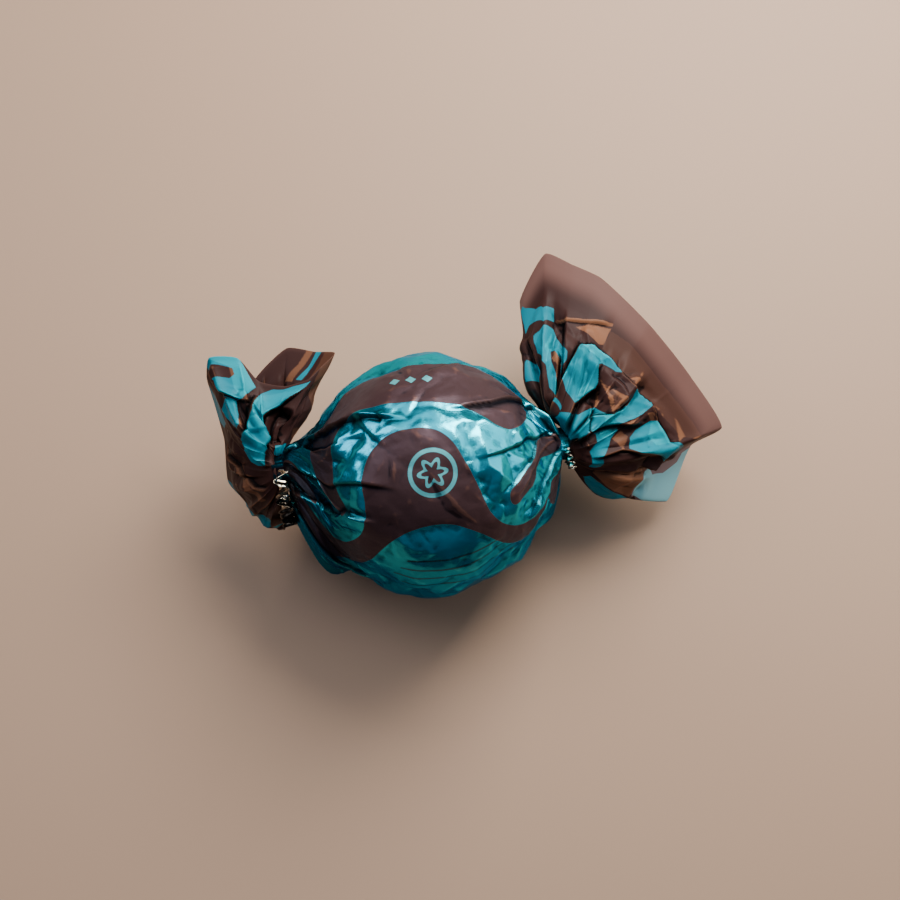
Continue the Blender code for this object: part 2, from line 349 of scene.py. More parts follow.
def creases(rise, bend):
    """How sharply the film bends, from -1 in a sharp valley to 1 on a sharp ridge."""
    beside = 2 * rise - np.roll(rise, 1, axis=1) - np.roll(rise, -1, axis=1)
    beside[1:-1] += 2 * rise[1:-1] - rise[:-2] - rise[2:]
    beside = (2 * beside + np.roll(beside, 1, axis=1) + np.roll(beside, -1, axis=1)) / 4
    beside[1:-1] = (2 * beside[1:-1] + beside[:-2] + beside[2:]) / 4
    return np.clip(beside / bend, -1, 1)


def spline(points):
    """A smooth closed line through a few points."""
    points = np.array(points, float)
    before, after, later = np.roll(points, 1, 0), np.roll(points, -1, 0), np.roll(points, -2, 0)
    pieces = []
    for t in np.linspace(0, 1, 8, endpoint=False):
        pieces.append(
            points
            + t * (after - before) / 2
            + t**2 * (before - 2.5 * points + 2 * after - later / 2)
            + t**3 * (1.5 * points - before / 2 - 1.5 * after + later / 2)
        )
    return np.stack(pieces, axis=1).reshape(-1, 2)


def within(across, along, outline, straight=False):
    """Distance to a closed outline, above zero inside it."""
    line = np.array(outline, float) if straight else spline(outline)
    ends = np.roll(line, -1, axis=0)
    nearest = np.full(across.shape, 1e9)
    crossings = np.zeros(across.shape, bool)
    for (x0, y0), (x1, y1) in zip(line, ends):
        dx, dy = x1 - x0, y1 - y0
        px, py = along - x0, across - y0
        share = np.clip((px * dx + py * dy) / (dx * dx + dy * dy + 1e-12), 0, 1)
        nearest = np.minimum(nearest, (px - share * dx) ** 2 + (py - share * dy) ** 2)
        meets = (y0 > across) != (y1 > across)
        if dy:
            crossings ^= meets & (along < x0 + (across - y0) * dx / dy)
    return np.sqrt(nearest) * np.where(crossings, 1, -1)


def printed(across, along, fields, straight=False):
    """Where the film is printed brown: distance in mm inside the fields, later ones over earlier ones."""
    brown = np.full(across.shape, -3.0 if fields[0][0] == "brown" else 3.0)
    for kind, outline in fields:
        inside = within(across, along, outline, straight)
        brown = np.maximum(brown, inside) if kind == "brown" else np.minimum(brown, -inside)
    return np.clip(brown, -3, 3)


def toned(across, along, tone, patches):
    """How light the film looks: its tone, and in each patch the patch's own value, later ones over earlier ones."""
    for value, outline in patches:
        share = smooth_step(within(across, along, outline, straight=True) / TONE_BLUR + 0.5)
        tone = tone + (value - tone) * share
    return tone


def placed(name, made):
    """An object at the origin that holds the bmesh."""
    mesh = bpy.data.meshes.new(name)
    made.to_mesh(mesh)
    made.free()
    piece = bpy.data.objects.new(name, mesh)
    bpy.context.scene.collection.objects.link(piece)
    return piece


def thickened(piece, thickness, offset):
    """The piece with a wall: offset is -1 to grow inwards and 0 to grow both ways."""
    wall = piece.modifiers.new("wall", "SOLIDIFY")
    wall.thickness = thickness
    wall.offset = offset
    return piece


def grid_mesh(name, rings, attributes, closed_ends):
    """A mesh of closed-round rings with the film's own UV map and an attribute for each named array."""
    rows, columns = rings.shape[0] - 1, rings.shape[1]
    made = bmesh.new()
    made.loops.layers.uv.new("film")
    bmesh.ops.create_grid(made, x_segments=columns, y_segments=rows, size=1.0, calc_uvs=True)
    layers = {key: made.verts.layers.float.new(key) for key in attributes}
    for point in made.verts:
        column = round((point.co.x + 1) / 2 * columns) % columns
        row = round((point.co.y + 1) / 2 * rows)
        point.co = rings[row, column]
        for key, layer in layers.items():
            point[layer] = attributes[key][row, column]
    bmesh.ops.remove_doubles(made, verts=made.verts, dist=WELD)
    bmesh.ops.recalc_face_normals(made, faces=made.faces)
    if closed_ends and made.calc_volume(signed=True) < 0:
        bmesh.ops.reverse_faces(made, faces=made.faces)
    for face in made.faces:
        face.smooth = True
    return placed(name, made)


# Print: closed outlines of brown and teal fields on the flat film. The ball's repeats turned round on the far side.
BALL_FIELDS = [
    ("brown", [  # bell with two feet
        (-0.5, -2.6), (-4.5, -3.0), (-7.6, -2.2), (-9.8, 0.0), (-10.9, 3.5), (-11.1, 7.5), (-11.7, 11.0),
        (-13.6, 14.2), (-17.0, 17.8), (-20.5, 20.5), (-25.0, 22.0), (-27.5, 25.0), (-26.5, 30.0), (-22.0, 29.5),
        (-18.5, 27.0), (-15.0, 23.6), (-12.0, 19.4), (-9.8, 16.2), (-7.0, 13.5), (-3.5, 12.2), (0.3, 12.2),
        (3.6, 13.8), (6.6, 16.6), (9.8, 20.6), (12.5, 22.6), (15.5, 22.4), (18.5, 20.4), (21.0, 16.5),
        (19.5, 16.5), (17.0, 18.2), (13.0, 18.2), (9.6, 15.6), (7.5, 12.2), (6.3, 8.0), (5.0, 4.2), (3.6, 0.6),
        (1.8, -1.6),
    ]),
    ("brown", [  # crescent with a leg
        (-20.0, 5.5), (-20.9, -3.0), (-19.5, -12.0), (-14.6, -17.2), (-10.4, -18.6), (-6.0, -17.4), (-2.0, -16.2),
        (2.6, -15.9), (7.5, -16.4), (12.0, -17.6), (15.5, -16.0), (17.8, -12.5), (18.2, -8.0), (16.8, -4.0),
        (13.8, -1.6), (11.0, -2.0), (8.2, -4.4), (5.6, -5.6), (3.2, -6.4), (0.2, -7.2), (-3.3, -7.9), (-7.0, -8.6),
        (-10.0, -9.2), (-13.0, -9.0), (-15.0, -6.5), (-16.3, -2.5), (-16.4, 2.0), (-15.6, 5.5), (-14.8, 9.0),
        (-16.6, 8.8),
    ]),
    ("brown", [  # stripe towards the right twist
        (27.0, -14.0), (24.0, -10.0), (20.8, -3.6), (18.1, 4.4), (13.8, 8.3), (11.3, 10.2), (11.6, 12.8), (14.0, 12.5),
        (17.0, 10.5), (18.8, 6.4), (21.0, 2.4), (24.5, -1.0), (28.0, -6.0),
    ]),
    ("brown", [(27.0, 9.0), (22.4, 11.2), (20.9, 15.2), (21.6, 19.6), (24.5, 23.4), (28.0, 21.0)]),
    ("brown", [(-27.5, 7.0), (-22.6, 10.5), (-21.5, 15.0), (-22.6, 18.4), (-28.0, 18.0)]),
]
REPEAT = math.pi * BALL_RADIUS / MM  # half the film's width
MOTIF_RUN, MOTIF_ACROSS, MOTIF_RADIUS = -0.2, 4.2, 3.3  # mm

BALL_FOLDS = [
    fold(-1, 0.8, 2.6, 0.8, [
        (-27.4, 2), (-24, -4), (-21, -11), (-18, -13.6), (-13.5, -10.2), (-9.9, -8.7), (-5.4, -6), (-1.5, -4.4),
    ]),
    fold(1, 0.35, 1.2, 0.35, [(-27.4, 3), (-23.6, -2.5), (-20.9, -7), (-18.2, -7.6), (-13, -5.4)]),
    fold(-1, 0.4, 1.4, 0.4, [
        (-27.6, 8), (-24.2, 9.9), (-22.1, 7.5), (-19.9, 4.2), (-15.9, 2.4), (-11.8, 3.4), (-5, 6),
    ]),
    fold(1, 0.8, 2.4, 0.65, [(-26.4, 26), (-24.4, 21), (-21.9, 16.9), (-19.1, 11.8), (-15.2, 8.8), (-9.5, 10.6)]),
    fold(1, 0.25, 0.7, 0, [(-21.4, 3.4), (-19.4, 6.4), (-18.2, 7.7), (-15, 8.6)]),
    fold(-1, 0.7, 2.2, 0.65, [
        (27.4, -14), (24.4, -18.8), (22, -20), (19.5, -16), (16.8, -10.8), (15.1, -9.6), (10.9, -6.8), (5.6, -5.2),
        (3, -5.4),
    ]),
    fold(1, 0.45, 2.4, 0.35, [(18, -22.6), (15.5, -21.3), (11.7, -19.7), (7.7, -17.1), (4.3, -14.5), (0.7, -13.2)]),
    fold(-1, 0.5, 2.2, 0.35, [(27.2, -10), (24.3, -13), (22.4, -8), (20.3, -3.3), (15, 1.4), (11.5, 2.6), (5.6, 3.5)]),
    fold(1, 0.4, 1.2, 0.4, [(26, -12), (22.2, -6.9), (20.8, -3.6), (19.3, 1.2), (18, 4.6), (13.6, 8.3), (10.4, 10.4)]),
    fold(-1, 0.3, 0.8, 0, [(25.4, -8), (23, -3.6), (20.4, 1.8), (17.5, 7.2), (14.5, 10.4), (11.4, 12.6)]),
    fold(1, 0.6, 1.6, 0.45, [(27.2, -4), (24.5, 1), (22, 7), (19.3, 11.4), (17.4, 15.6), (13.6, 18.6)]),
    fold(-1, 0.6, 1.8, 0.4, [(26.4, 5.8), (22.8, 13.6), (18.5, 18.1), (12.7, 24.2)]),
    fold(1, 0.7, 2, 0.45, [(-27.1, 31), (-25, 31.6), (-20.5, 29.1), (-12, 28.4)]),
    fold(-1, 0.6, 1.8, 0.4, [(-27.2, 37.5), (-24.6, 38.1), (-20.8, 37.5), (-13, 35.5)]),
]

# Print of the tails. Where the first field is teal, the film is brown to begin with.
LEFT_FIELDS = [
    ("teal", [
        (26, 27), (26, 20.5), (24.8, 19.5), (22.8, 18.2), (21.4, 16.6), (18.6, 17.8), (16.4, 18.8), (13.2, 21.2),
        (12.8, 23.2), (14.5, 25.6), (19, 25.8), (22.5, 27),
    ]),
    ("brown", [(23.6, 26.8), (22.6, 23.9), (21.6, 22), (19.9, 21.9), (18.7, 22.8), (19.3, 24.9), (20.5, 27.5)]),
    ("brown", [(22.5, 27.6), (19, 25.6), (15.5, 25.4), (16, 28), (20, 30)]),
    ("teal", [(13, 22.6), (13.9, 26), (15.2, 30), (13, 29), (9, 27.4), (6.6, 25.9), (7, 24.6), (9.2, 23.4)]),
    ("teal", [(26, 30.6), (26, 37), (21, 37), (15, 33), (17.5, 29.6), (21, 30.2)]),
    ("teal", [
        (23.6, 6), (24.3, 9.5), (23.7, 11.4), (23.3, 13.1), (19.2, 16), (12, 19.3), (8.4, 21), (5.4, 24), (5.6, 30),
        (5.9, 34.8), (4.6, 37.4), (2.8, 38), (0.9, 36.8), (0.9, 30), (1.1, 24), (2.1, 20.5), (3.6, 17.8), (8, 15.6),
        (12.8, 14.4), (15.6, 12.9), (18, 10.7), (20.1, 9.5), (22, 8),
    ]),
    ("teal", [(4, 10.5), (3.8, 6), (3.4, 2.5), (1.4, 2.2), (0.8, 6), (0.8, 13)]),
    ("teal", [(26, -5), (21, -6.6), (17.5, -8.6), (17.5, -7.2), (21, -5.2), (26, -3.6)]),
    ("teal", [
        (26, 47.2), (21, 47.8), (16, 51), (12, 54), (9, 57.5), (7, 61.5), (9.5, 64), (13, 60), (18, 56), (26, 54),
    ]),
    ("teal", [(20, 69), (12, 72), (6, 70), (9, 78), (15, 80), (26, 79), (26, 73)]),
    ("teal", [(4, -31), (9, -24), (15, -22), (20, -26), (14, -32)]),
]
RIGHT_FIELDS = [
    ("teal", [
        (22.4, -7.3), (22.4, -6.2), (21, -5.5), (17.1, -2.8), (15.3, -0.1), (15.8, 2.4), (13.7, 2.4), (13.1, -0.3),
        (15, -3.1), (16.6, -5), (16.2, -6.3), (18.6, -6.6),
    ]),
    ("teal", [
        (13.2, -3.8), (12.4, -2), (12.4, 2.2), (11.2, 3), (10.4, 4.7), (9.5, 6.8), (8.3, 7), (6.9, 5.8), (5.6, 5),
        (7.2, 5.2), (7.8, 4.8), (8.9, 2.7), (8.4, 1.7), (6.9, 2), (5.6, 3.3), (3, 4), (1.6, 9), (1.4, 8), (3.4, 1),
        (5, 0.8), (6.2, 0.7), (9.4, -3.2), (11.9, -3.9),
    ]),
    ("teal", [(12, -7.8), (9.9, -6), (8.7, -4.4), (7.4, -4.2), (6.2, -5.6), (7.8, -8)]),
    ("teal", [
        (11.5, 9.9), (13.3, 13), (13.8, 17.9), (13.4, 22), (12.6, 20.4), (12, 17), (11, 16), (10.3, 16.3), (8.5, 18.2),
        (7.6, 18.2), (5, 15.9), (3.2, 13.5), (3.7, 8.6), (5, 6.6), (6.4, 6.8), (7.3, 7.8), (8.9, 9),
    ]),
    ("teal", [
        (0.7, 5.6), (1.8, 13.6), (2.7, 17.4), (4.9, 20.3), (5.4, 21.2), (6, 24), (6.8, 26.5), (10.2, 28), (12, 27.5),
        (13.1, 25.9), (14.6, 31), (14, 31.5), (11.7, 32), (9.6, 31.3), (7, 30.2), (6.4, 32), (4.9, 34), (3.9, 36.6),
        (2.8, 39), (2.7, 44), (1.5, 45), (1.6, 36), (3.5, 29.5), (2.6, 25.6), (1.9, 25), (0.8, 27), (0.7, 24),
        (0.1, 22), (0, 12),
    ]),
    ("teal", [
        (12.5, 34.8), (13.6, 35.6), (13.7, 40.5), (15.5, 41.3), (19, 45.5), (16.5, 47), (13.7, 44.8), (11.8, 42.6),
        (8, 40.6), (6.6, 38.7), (7.6, 36), (9.2, 35),
    ]),
    ("teal", [(13.4, 50.8), (16, 50), (21, 50.6), (26, 48), (27, 58), (20, 59.5), (14.2, 57.6), (13, 54)]),
    ("brown", [(14.5, 50.3), (18, 49.6), (23.5, 49.4), (23, 51), (20, 52.4), (16.5, 52.2)]),
    ("teal", [(1.9, 59), (3.8, 61), (6.4, 61.5), (10, 60.5), (13, 58.5), (9.5, 57.4), (6, 56.5), (3, 55)]),
    ("teal", [(3, 66), (10, 68), (17, 68), (20, 76), (13, 78), (7, 74)]),
    ("teal", [(4, -34), (9, -36), (15, -30), (18, -20), (13, -18), (9, -26), (3, -26)]),
]

# The flap of the right tail that light shines through
RIGHT_FLAP = [
    (13.2, 50.5), (16, 49.3), (21, 49.2), (27, 46.5), (27, 60), (20, 60), (14.2, 58), (12.8, 54),
]

# Fields of tone on the tails, partly real layers of film and partly painted light: -1 or less where the film lies
# double and where shade under a fold is painted, up to 1 where light passes through it and where a lit plane is painted
LEFT_TONES = [
    (0.35, [
        (26, -3.2), (26, 4.2), (22.3, 4.9), (16.6, 3.7), (13.2, 4.6), (10, 3.8), (7, 3), (4.5, 1.2), (3.5, -2), (9, -3),
        (16, -4.6),
    ]),
    (0.6, [(26, -7.6), (21, -9), (17, -11.4), (17, -9.4), (21, -7.6), (26, -6)]),
    (-0.9, [(26, -5.4), (21, -7), (17.2, -9), (17.2, -6.8), (21, -4.8), (26, -3.2)]),
    (-0.3, [(26, -20), (26, -8), (17, -12), (16, -18)]),
    (-1, [(14.5, 13.6), (17.5, 10.8), (14, 7.4), (8.8, 4.2), (5, 3.6), (3.2, 8), (4, 14), (9, 14.4)]),
    # Painted shade of a fold, low enough that a crease does not lighten it
    (-2, [(20.8, 10.6), (15.5, 9.6), (11, 7.4), (7.6, 4.8), (6.6, -1), (10, -1), (14, 2), (18, 4), (21.5, 7)]),
    (0.6, [(8.2, 40.2), (6.2, 43.5), (3.6, 50), (3, 55), (4.6, 54), (6.6, 47.5), (9.5, 42.5)]),
    (0.6, [(26, 27), (26, 20.5), (21.4, 16.6), (16.4, 18.8), (13.2, 21.2), (16, 22.5), (22, 22.5)]),
    (-0.6, [(13, 22.6), (13.9, 26), (9, 27.4), (6.6, 25.9), (9.2, 23.4)]),
    (0.3, [(23.6, 6), (24.3, 9.5), (19.4, 16), (12.5, 19), (13.2, 15), (18.2, 12)]),
]
RIGHT_TONES = [
    (-1, [(-0.2, 19), (1, 24), (1.6, 30), (2.2, 36.5), (2.2, 41), (3.5, 44.5), (4, 50), (2, 54), (-0.2, 60)]),
    (-0.5, [(12.3, 35.4), (14.5, 34.6), (16.6, 36), (16.4, 38.6), (15.6, 41), (13.4, 41), (13.6, 38)]),
    (-0.8, [
        (23.5, -6), (19.2, -2.9), (17.6, -0.2), (18.6, 2.2), (15.9, 2.3), (15.3, -0.1), (17.1, -2.8), (21.5, -5.6),
    ]),
    (-0.4, [
        (19.3, -2.8), (18.3, 0), (20.5, 4.2), (19.2, 7.5), (20.8, 11.5), (21.3, 14.2), (19.4, 15), (16.5, 11),
        (15, 6.6), (14, 3), (16, -2),
    ]),
    (0.8, [(14, 2.9), (15.2, 6.2), (16.8, 10.4), (19.9, 15.4), (19.2, 15.6), (16.3, 11.2), (14.8, 7)]),
    (-1, [(13.5, 3.5), (14.2, 7), (14.2, 14.3), (11, 10.6), (8, 8), (10.4, 4.9)]),
    (0.8, [(14.2, 7.2), (18.8, 15.5), (17.5, 15.4), (15, 15.2), (14.3, 14)]),
    (0.7, [(8.6, 2), (8.9, 2.7), (7.8, 4.8), (6.8, 4.4), (7.2, 2)]),
    (0.22, [
        (14.3, 15), (18.4, 15.6), (19.5, 20), (19.5, 30), (20.5, 43), (16.5, 40.5), (15.2, 35.8), (14.5, 31),
        (13.4, 25.4), (13.7, 22), (14.2, 18),
    ]),
    (0.9, [(9.9, 16.8), (8.6, 20.6), (7.9, 23.4), (6.9, 25.8), (7.4, 26.2), (8.7, 23.6), (9.2, 20.6)]),
    (0.25, [(9.9, 16.9), (9.2, 20.6), (8.7, 23.6), (7.4, 26.2), (10, 28), (10.2, 26), (9.6, 21.7)]),
    (0.9, [(9.8, 21.4), (10.8, 27.4), (9.9, 28), (9.5, 23.8)]),
    (-1, [(12, 17), (12.8, 21.8), (13.3, 25.4), (12.5, 27), (11.4, 27.5), (10.6, 22.8), (10.7, 20.5), (10.6, 17.2)]),
    (0.8, [(8, 18.6), (5.4, 21), (5.8, 22), (8, 19.4)]),
    (0.9, [(8.2, 31), (9.4, 31.5), (7.8, 34)]),
    (0.6, [(5, 34), (7, 32.6), (7.6, 35.6), (5.6, 38.6)]),
    (0.8, [(17.5, 36.6), (17.1, 40.4), (15.5, 41.6), (16, 39.6)]),
    (0.5, [(12.5, 32.5), (13.6, 33.3), (13.2, 35.2), (12.3, 34.8)]),
    (0.6, [(7.6, 40.6), (11, 42.4), (13, 44.6), (11.5, 44.8), (8.4, 43.2)]),
    (0.7, [(3.8, 46.5), (8, 47.5), (12.5, 48.2), (13.6, 50.6), (13, 54), (13, 58), (9.5, 57), (6, 56), (3, 53)]),
    (0.6, [(12.5, 34.8), (13.6, 35.6), (13.7, 40.5), (11, 40.4), (10.5, 37.4)]),
    (-0.5, [(9.2, 35), (12.5, 34.8), (10.5, 37.4), (7.2, 37)]),
    (0.7, [(11.5, 9.9), (13.3, 13), (13.8, 17.9), (12.4, 16.8), (11.6, 12.8)]),
    (-0.5, [(11, 16), (8.5, 18.2), (7.6, 16), (9.6, 12.6)]),
    (0.5, [(5, 15.9), (7.6, 18), (7.2, 15.4), (5.4, 12.6), (4, 13)]),
    (0.6, [(12.4, 2.2), (8.4, 1.4), (6, 0.8), (9.2, 0.4)]),
    (0.7, [(6, 24), (6.8, 26.5), (6.6, 30), (4.6, 33), (3.6, 31), (4.8, 27)]),
]

LEFT_FOLDS = [
    fold(-1, 1.2, 2.6, 0.3, [(1, 37), (2, 34), (4.6, 28), (5.4, 23.6), (8.6, 21.2), (12.6, 19.2), (19, 16.4)]),
    fold(1, 1.3, 2.6, 0.4, [
        (0.9, 25), (2.1, 20.3), (3.6, 17.6), (8, 15.4), (12.8, 14.2), (15.6, 12.7), (18.2, 10.6), (23, 7.2),
    ]),
    fold(-1, 1, 2.4, 0.3, [(12.6, 20.8), (13.2, 22.5), (14.2, 24), (15.6, 25.6), (19, 26.5), (24, 27)]),
    fold(1, 0.9, 1.8, 0.25, [(2, 50), (5, 45.5), (9, 41), (15, 39.4), (22, 39)]),
    fold(-1, 0.6, 2, 0.2, [(1, 58), (6, 56), (14, 55), (24, 56)]),
    fold(1, 0.8, 2.2, 0.25, [(3, -24), (10, -22), (18, -20), (24, -18)]),
    fold(-1, 0.8, 2.2, 0.25, [(3, 72), (10, 71), (18, 70), (24, 70)]),
]
RIGHT_FOLDS = [
    fold(1, 1.8, 3, 0.55, [(0.5, 3), (2.5, 5), (5, 6.6), (8.9, 8.6), (12.5, 10)]),
    fold(-1, 1.3, 2.6, 0.55, [(0.3, 14), (3.2, 13.8), (5, 16.2), (7.6, 18.4), (8.6, 18.3), (10.3, 16.5), (12.4, 17.2)]),
    fold(1, 0.4, 2, 0, [(13.8, 2.8), (15, 6.6), (16.5, 11), (19.5, 15.4)], crossways=True),
    fold(-1, 1.1, 2.4, 0.3, [
        (11.5, 9.9), (13.3, 13), (13.9, 17.9), (13.5, 22), (13.3, 25.6), (14.6, 31), (13.7, 35.6), (13.8, 40.5),
        (17, 44),
    ], crossways=True),
    fold(-1, 0.9, 1.6, 0.55, [(1.4, 38), (1.6, 31), (2.2, 25), (3.4, 22), (5.6, 19.8)]),
    fold(1, 0.8, 2, 0.25, [(0.5, 21), (4, 22), (6.8, 26.4), (9, 28), (12, 27.4)]),
    fold(-1, 1.1, 2.4, 0.6, [(0.5, 25), (5.2, 28.6), (7, 30.4), (9, 33.4), (11.6, 34.6)]),
    fold(-1, 1.4, 3, 0.5, [(1, 47), (4.4, 46), (10.2, 46.4), (16, 48), (23, 49.8)]),
    fold(1, 0.9, 2.2, 0.3, [(1.3, -6.8), (4.7, -5.8), (9, -4.6), (15, -5.7)]),
    fold(-1, 0.7, 1.6, 0.25, [(2, 3), (5.6, 3.9), (8, 4.4), (9.5, 3)]),
    fold(-1, 0.9, 1.8, 0.3, [(2, 39.6), (5.4, 38.6), (8, 40.8), (12, 43), (16, 46)]),
    fold(1, 1.2, 2.6, 0.3, [(2, 70), (8, 68), (14, 70), (20, 72)]),
    fold(-1, 1.2, 2.6, 0.3, [(2, -24), (8, -26), (14, -24), (20, -22)]),
]

# Dents: depth in mm and outline
LEFT_DENTS = [
    (2.2, [(15, 13), (17.5, 10.6), (14.5, 7.4), (9, 5), (5, 4.6), (3.4, 9), (4, 13.4), (9, 14)]),
]

# For each tail, by its side: where its hem begins in mm, its own tone, and as shares of its length where the crumples
# begin to fade and how far they take to be gone
TAIL_MARKS = {
    -1: {
        "hem": 23.6,
        "tone": -0.25,
        "crumple": (0.62, 0.22),
        "fields": LEFT_FIELDS,
        "tones": LEFT_TONES,
        "thin": [],
        "folds": LEFT_FOLDS,
        "dents": LEFT_DENTS,
    },
    1: {
        "hem": 18.4,
        "tone": -0.72,
        "crumple": (0.56, 0.14),
        "fields": RIGHT_FIELDS,
        "tones": RIGHT_TONES,
        "thin": [RIGHT_FLAP],
        "folds": RIGHT_FOLDS,
        "dents": [],
    },
}
TAIL_RUN = 25.0  # mm of film in a tail, for its print
TAIL_MIDDLE = math.radians(80)  # angle about which the film of a tail is counted, so that its seam lies below


def cone_shade(out, shade):
    """How much painted shade darkens a cone: out counts in mm from the middle of the ball towards it."""
    return shade["share"] * smooth_step((out - shade["from"]) / shade["over"])


def ball_film():
    """The film over the ball, with the two cones and the film that runs into the twists."""
    end = LEAVE_RUN + CONE_RUN
    angle = np.arange(BALL_COLUMNS) * 2 * math.pi / BALL_COLUMNS
    run = np.linspace(-end, end, BALL_ROWS)
    run, angle = np.meshgrid(run, angle, indexing="ij")
    reach = np.clip((np.abs(run) - LEAVE_RUN) / CONE_RUN, 0, 1)
    left, right = (run < -LEAVE_RUN)[..., None], (run > LEAVE_RUN)[..., None]
    rings = ball_points(angle, np.clip(run, -LEAVE_RUN, LEAVE_RUN))
    rings = np.where(left, cone_points(angle, reach, LEFT_NECK, -1), rings)
    rings = np.where(right, cone_points(angle, reach, RIGHT_NECK, 1), rings)
    radius = np.linalg.norm(rings - rings.mean(axis=1, keepdims=True), axis=2)
    around = BALL_RADIUS * angle
    cone = smooth_step(reach / CONE_SHALLOW_AFTER)
    rise = np.zeros_like(run)
    for size, seed, depth, less in BALL_CRUMPLES:
        heights, _ = creased(around, run, size, FILM_WIDTH, seed)
        rise += (depth - less * cone) * heights
    rise *= 1 - smooth_step((reach - CRUMPLES_FADE_FROM) / (1 - CRUMPLES_FADE_FROM))
    across = BALL_RADIUS * angle_from(angle, math.pi / 2) / MM
    folded, gap, edge_highlight = folds(run / MM, across, radius / BALL_RADIUS, BALL_FOLDS)
    brown = printed(across, run / MM, BALL_FIELDS)
    behind = (across + 2 * REPEAT) % (2 * REPEAT) - REPEAT
    brown = np.maximum(brown, printed(behind, -run / MM, BALL_FIELDS))
    rise = rise * (BROWN_DEPTH + (TEAL_DEPTH - BROWN_DEPTH) * smooth_step(0.5 - brown / 2))
    bent = creases(rise, BALL_BEND)
    in_brown = smooth_step(brown / 0.3 + 0.5)
    shade = cone_shade(-run / MM, LEFT_CONE_SHADE) + cone_shade(run / MM, RIGHT_CONE_SHADE) * in_brown
    rings = rings + facing(rings) * (rise + folded)[..., None]
    rings[..., 2] = np.maximum(rings[..., 2], 0.0)
    necks = [rings[:1] - NECK_COVER, rings[-1:] + NECK_COVER]
    ends = [np.repeat(neck.mean(axis=1, keepdims=True), BALL_COLUMNS, 1) for neck in necks]
    rings = np.concatenate([ends[0], necks[0], rings, necks[1], ends[1]])
    values = {
        "brown": brown,
        "gap": gap,
        "edge_highlight": edge_highlight,
        "bent": bent,
        "shade": shade,
        "run": run / MM,
        "across": across,
    }
    values = {key: np.concatenate([value[:1]] * 2 + [value] + [value[-1:]] * 2) for key, value in values.items()}
    return grid_mesh("wrap_ball", rings, values, True)


def pleated(angle, along, pleats, seed, end):
    """Sharp pleats that fan out from the twist."""
    rise = np.zeros(np.broadcast(angle, along).shape)
    for index in range(pleats):
        centre = 2 * math.pi * (index + 0.4 * uneven(index, seed)) / pleats
        centre = centre + 0.25 * uneven(index, seed + 1) * along
        width = 2 * math.pi / pleats * (0.55 + 0.2 * uneven(index, seed + 2))
        skew = 0.65 * uneven(index, seed + 3)
        away = angle_from(angle, centre) / width
        away = np.where(away < 0, away / (1 + skew), away / (1 - skew))
        start = 0.08 + 0.06 * uneven(index, seed + 4)
        last = end + 0.12 + 0.1 * uneven(index, seed + 5)
        growth = smooth_step((along - start) / 0.25) * (1 - smooth_step((along - last + 0.25) / 0.25))
        rise += (0.8 + 0.35 * uneven(index, seed + 6)) * growth * np.maximum(0, 1 - np.abs(away))
    return rise


def tail_film(name, tail, seed, height, crumple):
    """A tail: its flared film with pleats of a height, crumples of a depth, and its own folds and dents."""
    angle = np.arange(TAIL_COLUMNS) * 2 * math.pi / TAIL_COLUMNS
    along = np.linspace(0, 1, TAIL_ROWS)
    rings = tail_points(angle, along, tail)
    along, angle = np.meshgrid(along, angle, indexing="ij")
    across = BALL_RADIUS / MM * (angle_from(angle, TAIL_MIDDLE) + TAIL_MIDDLE)
    run = along * TAIL_RUN
    step = np.linalg.norm(np.roll(rings, -1, axis=1) - rings, axis=2) / MM
    scale = step / (FILM_WIDTH / MM / TAIL_COLUMNS)
    coarse, tone = creased(BALL_RADIUS * angle, run * MM, TAIL_FACET, FILM_WIDTH, seed)
    fine, finer_tone = creased(BALL_RADIUS * angle, run * MM, TAIL_FINE_FACET, FILM_WIDTH, seed + 1)
    marks = TAIL_MARKS[tail["side"]]
    end, fade = marks["crumple"]
    middle = smooth_step((along - 0.04) / 0.25) * (1 - smooth_step((along - end) / fade))
    rise = height * pleated(angle, along, TAIL_PLEATS, seed, end)
    rise += crumple * middle * (coarse + TAIL_FINE_SHARE * fine)
    folded, gap, edge_highlight = folds(run, across, scale, marks["folds"])
    rise = rise + folded
    for depth, outline in marks["dents"]:
        rise = rise - depth * MM * smooth_step(within(across, run, outline) / DENT_BLUR)
    bent = creases(rise * smooth_step(along / 0.1), TAIL_BEND)
    rings = rings + facing(rings) * rise[..., None]
    tone = marks["tone"] + (0.6 * tone + 0.4 * finer_tone - 0.5) * middle
    thin = np.full(run.shape, -3.0)
    for outline in marks["thin"]:
        thin = np.maximum(thin, within(across, run, outline))
    values = {
        "brown": printed(across, run, marks["fields"], straight=True),
        "light": toned(across, run, tone, marks["tones"]),
        "thin": thin,
        "hem": run - marks["hem"],
        "gap": gap,
        "edge_highlight": edge_highlight,
        "bent": bent,
    }
    return thickened(grid_mesh(name, rings, values, False), FILM_THICKNESS, -1.0)


# Liner foil beside the twists
FOIL_INSIDE = 0.4 * MM
FOIL_END = 0.12
LEFT_LINER = {
    "from": math.radians(100),
    "to": math.radians(228),
    "reach": 9.0 * MM,
    "lean": 0.0,
    "wave": 1.1 * MM,
    "ruffles": 6,
    "seed": 11,
}
RIGHT_LINER = {
    "from": math.radians(125),
    "to": math.radians(235),
    "reach": 4.3 * MM,
    "lean": 0.2,
    "wave": 0.45 * MM,
    "ruffles": 7,
    "seed": 13,
}


def liner_points(share, out, neck, side, shape):
    """Points of a collar of foil, how far round it they lie, and their radius."""
    inner = NECK_RADIUS - FOIL_INSIDE
    angle = shape["from"] + (shape["to"] - shape["from"]) * share
    end_fade = np.sin(math.pi * (FOIL_END + (1 - 2 * FOIL_END) * share))
    radius = inner + (shape["reach"] - inner) * out * end_fade
    ruffle = shape["wave"] * np.sin(2 * math.pi * shape["ruffles"] * share) * out
    return np.stack([
        neck[0] + side * NECK_LENGTH / 2 + shape["lean"] * (radius - inner) + ruffle,
        neck[1] + radius * np.cos(angle),
        neck[2] + radius * np.sin(angle),
    ], axis=-1), radius * angle, radius


